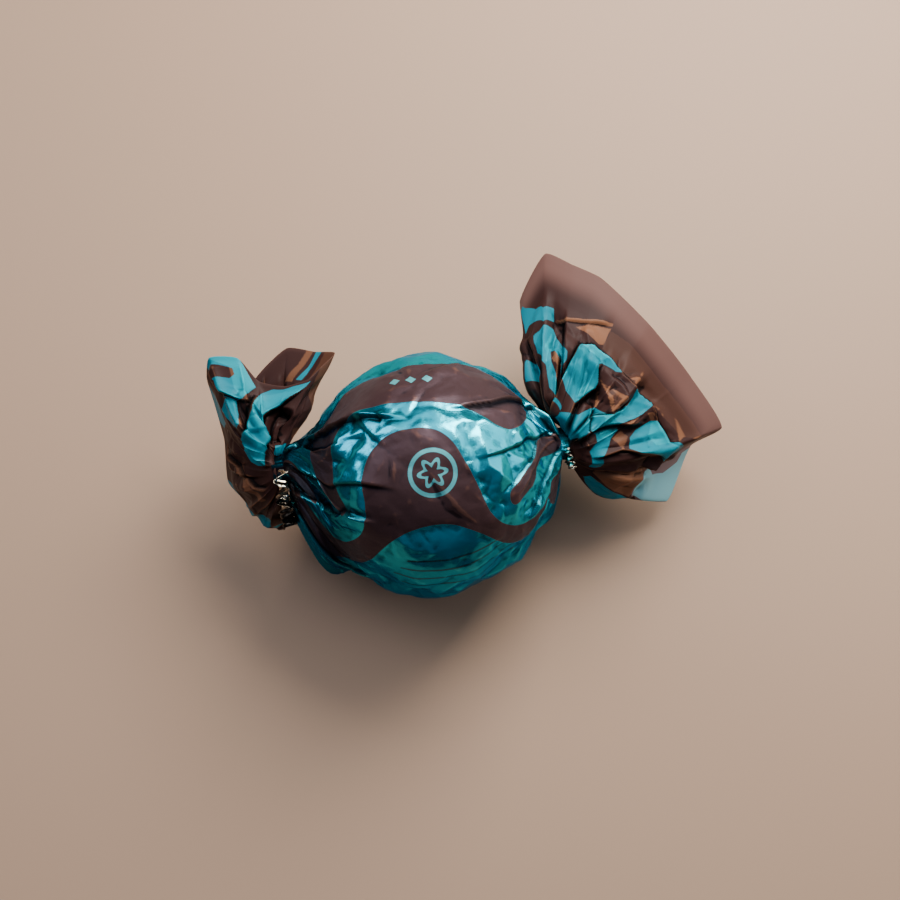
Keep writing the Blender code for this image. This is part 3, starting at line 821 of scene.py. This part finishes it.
def liner_foil(name, neck, side, shape):
    """A crumpled collar of foil beside a twist."""
    share, out = np.meshgrid(np.linspace(0, 1, FOIL_COLUMNS + 1), np.linspace(0, 1, FOIL_ROWS + 1), indexing="ij")
    points, around, radius = liner_points(share, out, neck, side, shape)
    lifted = np.zeros_like(radius)
    for layer, (size, depth) in enumerate(FOIL_CRUMPLES):
        heights, _ = creased(around, radius, size, FOIL_PERIOD, shape["seed"] + layer)
        lifted += depth * heights
    points = points + lifted[..., None] * FOIL_CRUMPLE_WAY
    # painted shade on the foil further out from the twist
    low = smooth_step((radius - FOIL_SHADE_FROM) / FOIL_SHADE_OVER)
    made = bmesh.new()
    bmesh.ops.create_grid(made, x_segments=FOIL_COLUMNS, y_segments=FOIL_ROWS, size=1.0)
    shade = made.verts.layers.float.new("shade")
    for point in made.verts:
        column = round((point.co.x + 1) / 2 * FOIL_COLUMNS)
        row = round((point.co.y + 1) / 2 * FOIL_ROWS)
        point[shade] = low[column, row]
        point.co = points[column, row]
    bmesh.ops.recalc_face_normals(made, faces=made.faces)
    for face in made.faces:
        face.smooth = True
    return thickened(placed(name, made), FOIL_THICKNESS, 0.0)


# Base colours of the film and the foil where hardly any light gets, and how far they cover the others
BALL_SHADED_TEAL = (0.001, 0.035, 0.06)
BALL_SHADED_BROWN = (0.018, 0.009, 0.01)
BALL_VALLEY_SHADE = (0.002, 0.006, 0.01)
BALL_GAP_SHADOW = (0.003, 0.003, 0.004)
TAIL_VALLEY_SHADE = (0.004, 0.005, 0.006)
TAIL_GAP_SHADOW = (0.004, 0.003, 0.003)
FOIL_SHADED = (0.016, 0.013, 0.01)
GAP_SHADOW_COVER = 0.95
FOIL_SHADE_COVER = 0.97

# Finishes
BALL_SPECULAR_TINT = (0.12, 0.6, 1.0)  # keeps the foil's sheen blue at a flat angle
BALL_BUMP, TAIL_BUMP, FOIL_BUMP = 0.1 * MM, 0.05 * MM, 0.12 * MM

# Motifs and lines of the print, in mm on the film. A pair says where a colour ends and where it begins to end.
PETALS = 6
PETAL_RADIUS, PETAL_DEPTH = 1.55, 0.45
MOTIF_LINE = (0.36, 0.26)
LOZENGE_ACROSS, LOZENGE_SLOPE, LOZENGE_MIDDLE = -12.0, 0.14, -0.6
LOZENGE_STEP, LOZENGE_SIZE, LOZENGE_ROW = 1.2, (0.85, 0.75), (3.3, 3.2)
LINES_MIDDLE, LINES_WIDTH, LINES_STEP = 20.7, (4.0, 3.9), 0.9


class Nodes:
    """A new material and short ways to add to its nodes."""

    def __init__(self, name):
        self.material = bpy.data.materials.new(name)
        self.material.use_nodes = True
        self.tree = self.material.node_tree
        self.surface = self.tree.nodes["Principled BSDF"]

    def add(self, kind, **settings):
        node = self.tree.nodes.new(kind)
        for key, value in settings.items():
            setattr(node, key, value)
        return node

    def link(self, source, target):
        self.tree.links.new(source, target)

    def put(self, target, value):
        if isinstance(value, bpy.types.NodeSocket):
            self.link(value, target)
        else:
            target.default_value = value

    def value(self, name):
        return self.add("ShaderNodeAttribute", attribute_name=name).outputs["Fac"]

    def math(self, operation, first, second=0.0):
        node = self.add("ShaderNodeMath", operation=operation)
        self.put(node.inputs[0], first)
        self.put(node.inputs[1], second)
        return node.outputs[0]

    def step(self, value, low, high, start=0.0, end=1.0):
        node = self.add("ShaderNodeMapRange", interpolation_type="SMOOTHSTEP")
        self.put(node.inputs["Value"], value)
        node.inputs["From Min"].default_value = low
        node.inputs["From Max"].default_value = high
        self.put(node.inputs["To Min"], start)
        self.put(node.inputs["To Max"], end)
        return node.outputs["Result"]

    def mix(self, share, first, second):
        node = self.add("ShaderNodeMix", data_type="RGBA")
        self.put(node.inputs[0], share)
        self.put(node.inputs[6], first)
        self.put(node.inputs[7], second)
        return node.outputs[2]

    def film(self):
        """The film's own coordinates in millimetres."""
        place = self.add("ShaderNodeUVMap", uv_map="film")
        mapping = self.add("ShaderNodeMapping")
        self.link(place.outputs[0], mapping.inputs["Vector"])
        mapping.inputs["Scale"].default_value = (FILM_WIDTH / MM, TAIL_RUN * 2, 1)
        return mapping.outputs[0]

    def noise(self, vector, scale, detail=3.0):
        node = self.add("ShaderNodeTexNoise")
        self.link(vector, node.inputs["Vector"])
        node.inputs["Scale"].default_value = scale
        node.inputs["Detail"].default_value = detail
        return node.outputs["Fac"]

    def finished(self, inputs):
        """The material, with the named inputs of its surface set or linked."""
        for name, value in inputs.items():
            self.put(self.surface.inputs[name], value)
        return self.material

    def bump(self, height, depth, strength=1.0):
        node = self.add("ShaderNodeBump")
        node.inputs["Distance"].default_value = depth
        node.inputs["Strength"].default_value = strength
        self.link(height, node.inputs["Height"])
        self.link(node.outputs[0], self.surface.inputs["Normal"])


def colour(values):
    return (*values, 1.0)


def ring_motif(made, run, across):
    """A thin ring round a flower with six petals."""
    along, beside = made.math("SUBTRACT", run, MOTIF_RUN), made.math("SUBTRACT", across, MOTIF_ACROSS)
    squares = made.math("ADD", made.math("MULTIPLY", along, along), made.math("MULTIPLY", beside, beside))
    away = made.math("SQRT", squares)
    petals = made.math("COSINE", made.math("MULTIPLY", made.math("ARCTAN2", beside, along), PETALS))
    petals = made.math("ADD", made.math("MULTIPLY", petals, PETAL_DEPTH), PETAL_RADIUS)
    ring = made.math("ABSOLUTE", made.math("SUBTRACT", away, MOTIF_RADIUS))
    flower = made.math("ABSOLUTE", made.math("SUBTRACT", away, petals))
    return made.step(made.math("MINIMUM", ring, flower), *MOTIF_LINE)


def lozenges(made, run, across):
    """A short row of three small lozenges."""
    middle = made.math("ADD", made.math("MULTIPLY", run, LOZENGE_SLOPE), LOZENGE_ACROSS)
    beside = made.math("ABSOLUTE", made.math("SUBTRACT", across, middle))
    along = made.math("ABSOLUTE", made.math("SUBTRACT", run, LOZENGE_MIDDLE))
    repeated = made.math("PINGPONG", along, LOZENGE_STEP)
    inside = made.step(made.math("ADD", repeated, beside), *LOZENGE_SIZE)
    return made.math("MULTIPLY", inside, made.step(along, *LOZENGE_ROW))


def pin_lines(made, run, across):
    """Fine dark lines round the lower side, longer towards the table."""
    line = made.step(made.math("PINGPONG", across, LINES_STEP), 0.2, 0.1)
    beside = made.step(made.math("ABSOLUTE", made.math("SUBTRACT", across, LINES_MIDDLE)), *LINES_WIDTH)
    width = made.math("ADD", made.math("MULTIPLY", across, 0.7), -5.0)
    along = made.math("SUBTRACT", made.math("ABSOLUTE", made.math("SUBTRACT", run, 1.5)), width)
    return made.math("MULTIPLY", made.math("MULTIPLY", line, beside), made.step(along, 0.1, 0.0))


def foiled_film(looks):
    """Printed film over foil, as on the ball: both inks shine like coloured metal."""
    made = Nodes("foiled_film")
    place = made.film()
    brown = made.step(made.value("brown"), -0.05, 0.05)
    run, across = made.value("run"), made.value("across")
    cloud = made.noise(place, 0.12)
    teal = made.mix(cloud, colour(looks.ball_teal_deep), colour(looks.ball_teal))
    # Painted shade: the teal darkens towards the lower front, where the foil reflects the shaded table
    teal = made.mix(made.step(across, 12.0, 24.0, 0.0, 0.55), teal, colour(looks.ball_teal_low_shade))
    teal = made.mix(made.math("MULTIPLY", pin_lines(made, run, across), 0.75), teal, colour(looks.ball_brown_deep))
    dark = made.mix(cloud, colour(looks.ball_brown_deep), colour(looks.ball_brown))
    motifs = made.math("MAXIMUM", ring_motif(made, run, across), lozenges(made, run, across))
    dark = made.mix(motifs, dark, colour(looks.ball_motif))
    both = made.mix(brown, teal, dark)
    # Painted highlight colours for fold edges and sharp ridges
    edge_highlight = made.mix(brown, colour(looks.ball_teal_edge_highlight), colour(looks.ball_copper_highlight))
    bent = made.value("bent")
    shaded = made.mix(brown, colour(BALL_SHADED_TEAL), colour(BALL_SHADED_BROWN))
    both = made.mix(made.value("shade"), both, shaded)
    # painted highlight along fold edges and on sharp ridges, weaker in brown
    rim_highlight = made.math("MULTIPLY", made.value("edge_highlight"), made.step(brown, 0, 1, 0.7, 0.3))
    ridge = made.math("MULTIPLY", made.step(bent, 0.25, 1.0), made.step(brown, 0, 1, 0.38, 0.2))
    both = made.mix(made.math("MAXIMUM", rim_highlight, ridge), both, edge_highlight)
    # painted shade in the sharp valleys of the crumples
    both = made.mix(made.step(bent, -0.25, -1.0, 0.0, 0.45), both, colour(BALL_VALLEY_SHADE))
    # painted shadow in the gaps beside folds
    both = made.mix(made.math("MULTIPLY", made.value("gap"), GAP_SHADOW_COVER), both, colour(BALL_GAP_SHADOW))
    # In the painted shadow of the gaps and the painted shade of the valleys the film counts as metal, so that nothing
    # shines there.
    hidden_in_shade = made.math("MAXIMUM", made.value("gap"), made.step(bent, -0.25, -1.0, 0.0, 0.8))
    made.bump(made.noise(place, 0.9, 4.0), BALL_BUMP, 0.4)
    return made.finished({
        "Base Color": both,
        "Metallic": made.math("MAXIMUM", hidden_in_shade, made.step(brown, 0, 1, 0.95, 0.45)),
        "Roughness": made.step(brown, 0, 1, 0.24, 0.42),
        "Specular IOR Level": 0.3,
        "Specular Tint": colour(BALL_SPECULAR_TINT),
        "Coat Weight": 0.06,
        "Coat Roughness": 0.25,
    })


def tail_material(looks):
    """Printed film with no foil behind it: dark where it lies double and in painted shade, copper and pale where light
    passes through it and in painted highlights.
    """
    made = Nodes("clear_printed_film")
    place = made.film()
    brown = made.step(made.value("brown"), -0.06, 0.06)
    hem = made.step(made.value("hem"), 0.0, 4.5)
    thin = made.step(made.value("thin"), -0.15, 0.15)
    bent = made.value("bent")
    # Painted highlight on sharp ridges and along fold edges
    light = made.math("ADD", made.value("light"), made.step(bent, 0.2, 1.0, 0.0, 0.7))
    light = made.math("MAXIMUM", light, made.math("MULTIPLY", made.value("edge_highlight"), 0.8))
    # Lighter where one layer lets light through and where highlights are painted, darker where the film lies double and
    # where shade is painted
    single = made.step(light, 0.0, 1.0)
    doubled_and_shaded = made.step(light, 0.0, -1.0)
    teal = made.mix(single, colour(looks.tail_teal), colour(looks.tail_teal_single_and_highlight))
    teal = made.mix(doubled_and_shaded, teal, colour(looks.tail_teal_double_and_shade))
    teal = made.mix(thin, teal, colour(looks.tail_teal_thin))
    dark = made.mix(hem, colour(looks.tail_brown), colour(looks.tail_hem))
    dark = made.mix(single, dark, colour(looks.tail_copper_single_and_highlight))
    dark = made.mix(doubled_and_shaded, dark, colour(looks.tail_brown_double_and_shade))
    dark = made.mix(thin, dark, colour(looks.tail_brown_thin))
    both = made.mix(brown, teal, dark)
    # painted shade in sharp valleys, stronger in brown
    valley = made.math("MULTIPLY", made.step(bent, -0.3, -1.0, 0.0, 0.75), made.step(brown, 0, 1, 0.4, 1.0))
    both = made.mix(valley, both, colour(TAIL_VALLEY_SHADE))
    # painted shadow in the gaps beside folds
    both = made.mix(made.math("MULTIPLY", made.value("gap"), GAP_SHADOW_COVER), both, colour(TAIL_GAP_SHADOW))
    cover = made.step(hem, 0, 1, 1.0, looks.tail_hem_cover)
    made.bump(made.noise(place, 0.5, 2.0), TAIL_BUMP, 0.3)
    return made.finished({
        "Base Color": both,
        "Alpha": made.step(thin, 0, 1, cover, looks.tail_thin_cover),
        "Metallic": made.math("MAXIMUM", made.value("gap"), valley),
        "Roughness": 0.45,
        "Specular IOR Level": 0.08,
    })


def foil_material(looks):
    """Bright crumpled foil, with painted shade where it lies further out from the twist."""
    made = Nodes("liner_foil")
    place = made.add("ShaderNodeTexCoord").outputs["Object"]
    cloud = made.step(made.noise(place, 500.0), 0.4, 0.6)
    bright = made.mix(cloud, colour(looks.foil_dark), colour(looks.foil))
    low = made.mix(made.math("MULTIPLY", made.value("shade"), FOIL_SHADE_COVER), bright, colour(FOIL_SHADED))
    made.bump(made.noise(place, 1500.0, 4.0), FOIL_BUMP, 0.7)
    return made.finished({"Base Color": low, "Metallic": 1.0, "Roughness": 0.16})


def tint(name, default, description):
    return bpy.props.FloatVectorProperty(
        name=name, description=description, default=default, size=3, subtype="COLOR", min=0.0, max=1.0
    )


def number(name, default, description, **kind):
    return bpy.props.FloatProperty(name=name, description=description, default=default, **kind)


def factor(name, default, description):
    return number(name, default, description, min=0.0, max=1.0, subtype="FACTOR")


def length(name, default, description):
    return number(name, default, description, subtype="DISTANCE", unit="LENGTH")


def turn(name, default, description):
    return number(name, default, description, subtype="ANGLE")


class BonbonLooks(bpy.types.PropertyGroup):
    """Colours of the print, the film and the foil"""

    ball_teal: tint("Ball teal", (0.02, 0.68, 0.8), "Teal print over foil where it is strongest")
    ball_teal_deep: tint("Ball teal, deep", (0.006, 0.26, 0.42), "Teal print over foil where it is deepest")
    # Painted shade of the teal near the table
    ball_teal_low_shade: tint("Ball teal, low", (0.002, 0.07, 0.19), "Teal print over foil near the table")
    ball_motif: tint("Ball motifs", (0.1, 0.45, 0.48), "Ring, flower and lozenges")
    # Painted highlight along creases and fold edges, over the print
    ball_teal_edge_highlight: tint("Ball teal, edges", (0.06, 0.6, 0.7), "Teal print along creases")
    ball_copper_highlight: tint("Ball brown, edges", (0.4, 0.17, 0.1), "Brown print along creases")
    ball_brown: tint("Ball brown", (0.076, 0.037, 0.039), "Brown print over foil")
    ball_brown_deep: tint("Ball brown, deep", (0.052, 0.024, 0.022), "Brown print over foil where it is deepest")
    tail_teal: tint("Tail teal", (0.001, 0.19, 0.25), "Teal print of the tails")
    # Where the film lies double and where shade is painted under folds
    tail_teal_double_and_shade: tint("Tail teal, double", (0.0005, 0.045, 0.063), "Teal print where the film lies double")
    # Where light passes through one layer and where highlights are painted on ridges and lit planes
    tail_teal_single_and_highlight: tint("Tail teal, single", (0.003, 0.35, 0.42), "Teal print where light passes through it")
    tail_teal_thin: tint("Tail teal, thin", (0.33, 0.8, 0.86), "Teal print of the loose flap")
    tail_brown: tint("Tail brown", (0.034, 0.013, 0.011), "Brown print of the tails")
    # Where the film lies double and where shade is painted under folds
    tail_brown_double_and_shade: tint("Tail brown, double", (0.009, 0.005, 0.005), "Brown print where the film lies double")
    tail_brown_thin: tint("Tail brown, thin", (0.26, 0.18, 0.2), "Brown print of the loose flap")
    # Where light passes through one layer and where highlights are painted on ridges and lit planes
    tail_copper_single_and_highlight: tint("Tail copper", (0.21, 0.085, 0.042), "Brown print where light passes through it")
    tail_hem: tint("Hem", (0.14, 0.067, 0.055), "Brown print at the hem")
    tail_hem_cover: factor("Hem cover", 0.93, "How much the print at the hem hides")
    tail_thin_cover: factor("Flap cover", 0.72, "How much the print of the loose flap hides")
    foil: tint("Foil", (0.85, 0.78, 0.62), "Liner foil")
    foil_dark: tint("Foil, dark", (0.2, 0.16, 0.12), "Liner foil where it is dullest")


class BonbonSizes(bpy.types.PropertyGroup):
    """Sizes of the tails' pleats and crumples"""

    right_pleats: length("Right pleats", 1.6 * MM, "Height of the right tail's pleats")
    left_pleats: length("Left pleats", 0.9 * MM, "Height of the left tail's pleats")
    right_crumple: length("Right crumple", 1.1 * MM, "Depth of the right tail's crumpled facets")
    left_crumple: length("Left crumple", 0.5 * MM, "Depth of the left tail's crumpled facets")


class BonbonStage(bpy.types.PropertyGroup):
    """Camera, lights and table"""

    azimuth: turn("Azimuth", math.radians(-11), "Camera's angle round the ball")
    elevation: turn("Elevation", math.radians(75), "Camera's angle above the table")
    distance: length("Distance", 261.5 * MM, "From the camera to the ball")
    lens: number("Lens", 68.0, "Focal length in millimetres")
    key_power: number("Window power", 1.6, "Power of the window light in watts")
    key_size: length("Window size", 0.165, "Side of the window light")
    fill_power: number("Far window power", 0.5, "Power of the far window in watts")
    fill_size: length("Far window size", 0.2, "Side of the far window")
    ceiling_power: number("Ceiling power", 1.8, "Power of the bright ceiling in watts")
    ceiling_size: length("Ceiling size", 0.65, "Side of the bright ceiling")
    side_power: number("Side window power", 1.0, "Power of the low window at the right in watts")
    side_size: length("Side window size", 0.4, "Side of the low window at the right")
    sky: number("Room light", 0.28, "Brightness of the room's light")
    floor: tint("Floor", (0.405, 0.255, 0.165), "Pale table")


class BONBON_OT_ball(bpy.types.Operator):
    """Model the ball and the cones of its wrapper"""

    bl_idname = "bonbon.ball"
    bl_label = "Ball"

    def execute(self, context):
        piece = ball_film()
        piece.data.materials.append(foiled_film(context.scene.bonbon_looks))
        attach(piece, "root")
        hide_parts("twist_wrapper")
        return {"FINISHED"}


class BONBON_OT_tails(bpy.types.Operator):
    """Model the two tails of the wrapper"""

    bl_idname = "bonbon.tails"
    bl_label = "Tails"

    def execute(self, context):
        sizes = context.scene.bonbon_sizes
        look = tail_material(context.scene.bonbon_looks)
        pieces = [
            tail_film("wrap_tail_left", LEFT_TAIL, LEFT_SEED, sizes.left_pleats, sizes.left_crumple),
            tail_film("wrap_tail_right", RIGHT_TAIL, RIGHT_SEED, sizes.right_pleats, sizes.right_crumple),
        ]
        for piece in pieces:
            piece.data.materials.append(look)
            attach(piece, "root")
            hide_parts("twist_wrapper")
        return {"FINISHED"}


class BONBON_OT_foil(bpy.types.Operator):
    """Model the crumpled liner foil beside the twists"""

    bl_idname = "bonbon.foil"
    bl_label = "Liner foil"

    def execute(self, context):
        look = foil_material(context.scene.bonbon_looks)
        for name, neck, side, shape in (
            ("liner_left", LEFT_NECK, -1, LEFT_LINER),
            ("liner_right", RIGHT_NECK, 1, RIGHT_LINER),
        ):
            piece = liner_foil(name, neck, side, shape)
            piece.data.materials.append(look)
            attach(piece, "root")
            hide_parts("liner_foil_left" if side < 0 else "liner_foil_right")
        return {"FINISHED"}


FLOOR_SIZE = 3.0  # half a side
SENSOR_WIDTH, CLIP_START = 36.0, 0.01
AIM_HEIGHT, AIM_RIGHT, AIM_UP = 18.2 * MM, 3.08 * MM, 3.85 * MM  # where the camera points, from the rest spot
ROOM_BELOW, ROOM_ABOVE = (0.09, 0.1, 0.13), (0.6, 0.7, 0.95)


class BONBON_OT_stage(bpy.types.Operator):
    """Set the pale table, the soft light and the camera"""

    bl_idname = "bonbon.stage"
    bl_label = "Stage"

    def execute(self, context):
        stage = context.scene.bonbon_stage
        made = bmesh.new()
        bmesh.ops.create_grid(made, x_segments=1, y_segments=1, size=FLOOR_SIZE)
        floor = placed("floor", made)
        table = Nodes("pale_table").finished({"Base Color": colour(stage.floor), "Roughness": 0.6})
        floor.data.materials.append(table)

        back = Vector((
            math.sin(stage.azimuth) * math.cos(stage.elevation),
            -math.cos(stage.azimuth) * math.cos(stage.elevation),
            math.sin(stage.elevation),
        ))
        right = Vector((math.cos(stage.azimuth), math.sin(stage.azimuth), 0))
        up = back.cross(right)
        camera = bpy.data.cameras.new("camera")
        camera.lens = stage.lens
        camera.sensor_width = SENSOR_WIDTH
        camera.clip_start = CLIP_START
        viewer = bpy.data.objects.new("camera", camera)
        viewer.location = Vector((0, 0, AIM_HEIGHT)) + right * AIM_RIGHT + up * AIM_UP + back * stage.distance
        viewer.rotation_euler = back.to_track_quat("Z", "Y").to_euler()
        context.scene.collection.objects.link(viewer)
        context.scene.camera = viewer

        for name, toward, distance, size, power, shade in (
            ("window", (0.45, 0.55, 0.7), 0.29, stage.key_size, stage.key_power, (1.0, 0.96, 0.9)),
            ("far_window", (-0.65, 0.5, 0.55), 0.5, stage.fill_size, stage.fill_power, (0.86, 0.88, 1.0)),
            ("side_window", (0.95, 0.12, 0.32), 0.5, stage.side_size, stage.side_power, (0.92, 0.98, 1.0)),
            ("ceiling", (-0.05, 0.5, 0.85), 0.6, stage.ceiling_size, stage.ceiling_power, (0.9, 0.96, 1.0)),
        ):
            lamp = bpy.data.lights.new(name, "AREA")
            lamp.shape = "SQUARE"
            lamp.size = size
            lamp.energy = power
            lamp.color = shade
            window = bpy.data.objects.new(name, lamp)
            toward = Vector(toward).normalized()
            window.location = toward * distance
            window.rotation_euler = toward.to_track_quat("Z", "Y").to_euler()
            context.scene.collection.objects.link(window)

        world = bpy.data.worlds.new("room")
        context.scene.world = world
        world.use_nodes = True
        nodes, links = world.node_tree.nodes, world.node_tree.links
        place = nodes.new("ShaderNodeTexCoord")
        split = nodes.new("ShaderNodeSeparateXYZ")
        links.new(place.outputs["Generated"], split.inputs[0])
        ramp = nodes.new("ShaderNodeValToRGB")
        ramp.color_ramp.elements[0].position = 0.0
        ramp.color_ramp.elements[0].color = colour(ROOM_BELOW)
        ramp.color_ramp.elements[1].position = 1.0
        ramp.color_ramp.elements[1].color = colour(ROOM_ABOVE)
        links.new(split.outputs["Z"], ramp.inputs[0])
        links.new(ramp.outputs[0], nodes["Background"].inputs["Color"])
        nodes["Background"].inputs["Strength"].default_value = stage.sky
        return {"FINISHED"}


class BONBON_PT_panel(bpy.types.Panel):
    """The bonbon's pieces in the sidebar"""

    bl_idname = "BONBON_PT_panel"
    bl_label = "Bonbon"
    bl_space_type = "VIEW_3D"
    bl_region_type = "UI"
    bl_category = "Bonbon"

    def draw(self, context):
        for operator in PIECES:
            self.layout.operator(operator.bl_idname)


PIECES = (BONBON_OT_ball, BONBON_OT_tails, BONBON_OT_foil, BONBON_OT_stage)
CLASSES = (BonbonLooks, BonbonSizes, BonbonStage, *PIECES, BONBON_PT_panel)


def register():
    for made in CLASSES:
        bpy.utils.register_class(made)
    bpy.types.Scene.bonbon_looks = bpy.props.PointerProperty(type=BonbonLooks)
    bpy.types.Scene.bonbon_sizes = bpy.props.PointerProperty(type=BonbonSizes)
    bpy.types.Scene.bonbon_stage = bpy.props.PointerProperty(type=BonbonStage)


def unregister():
    del bpy.types.Scene.bonbon_looks
    del bpy.types.Scene.bonbon_sizes
    del bpy.types.Scene.bonbon_stage
    for made in reversed(CLASSES):
        bpy.utils.unregister_class(made)


def main():
    register()
    bpy.ops.bonbon.ball()
    bpy.ops.bonbon.tails()
    bpy.ops.bonbon.foil()
    bpy.ops.bonbon.stage()


if __name__ == "__main__":
    main()
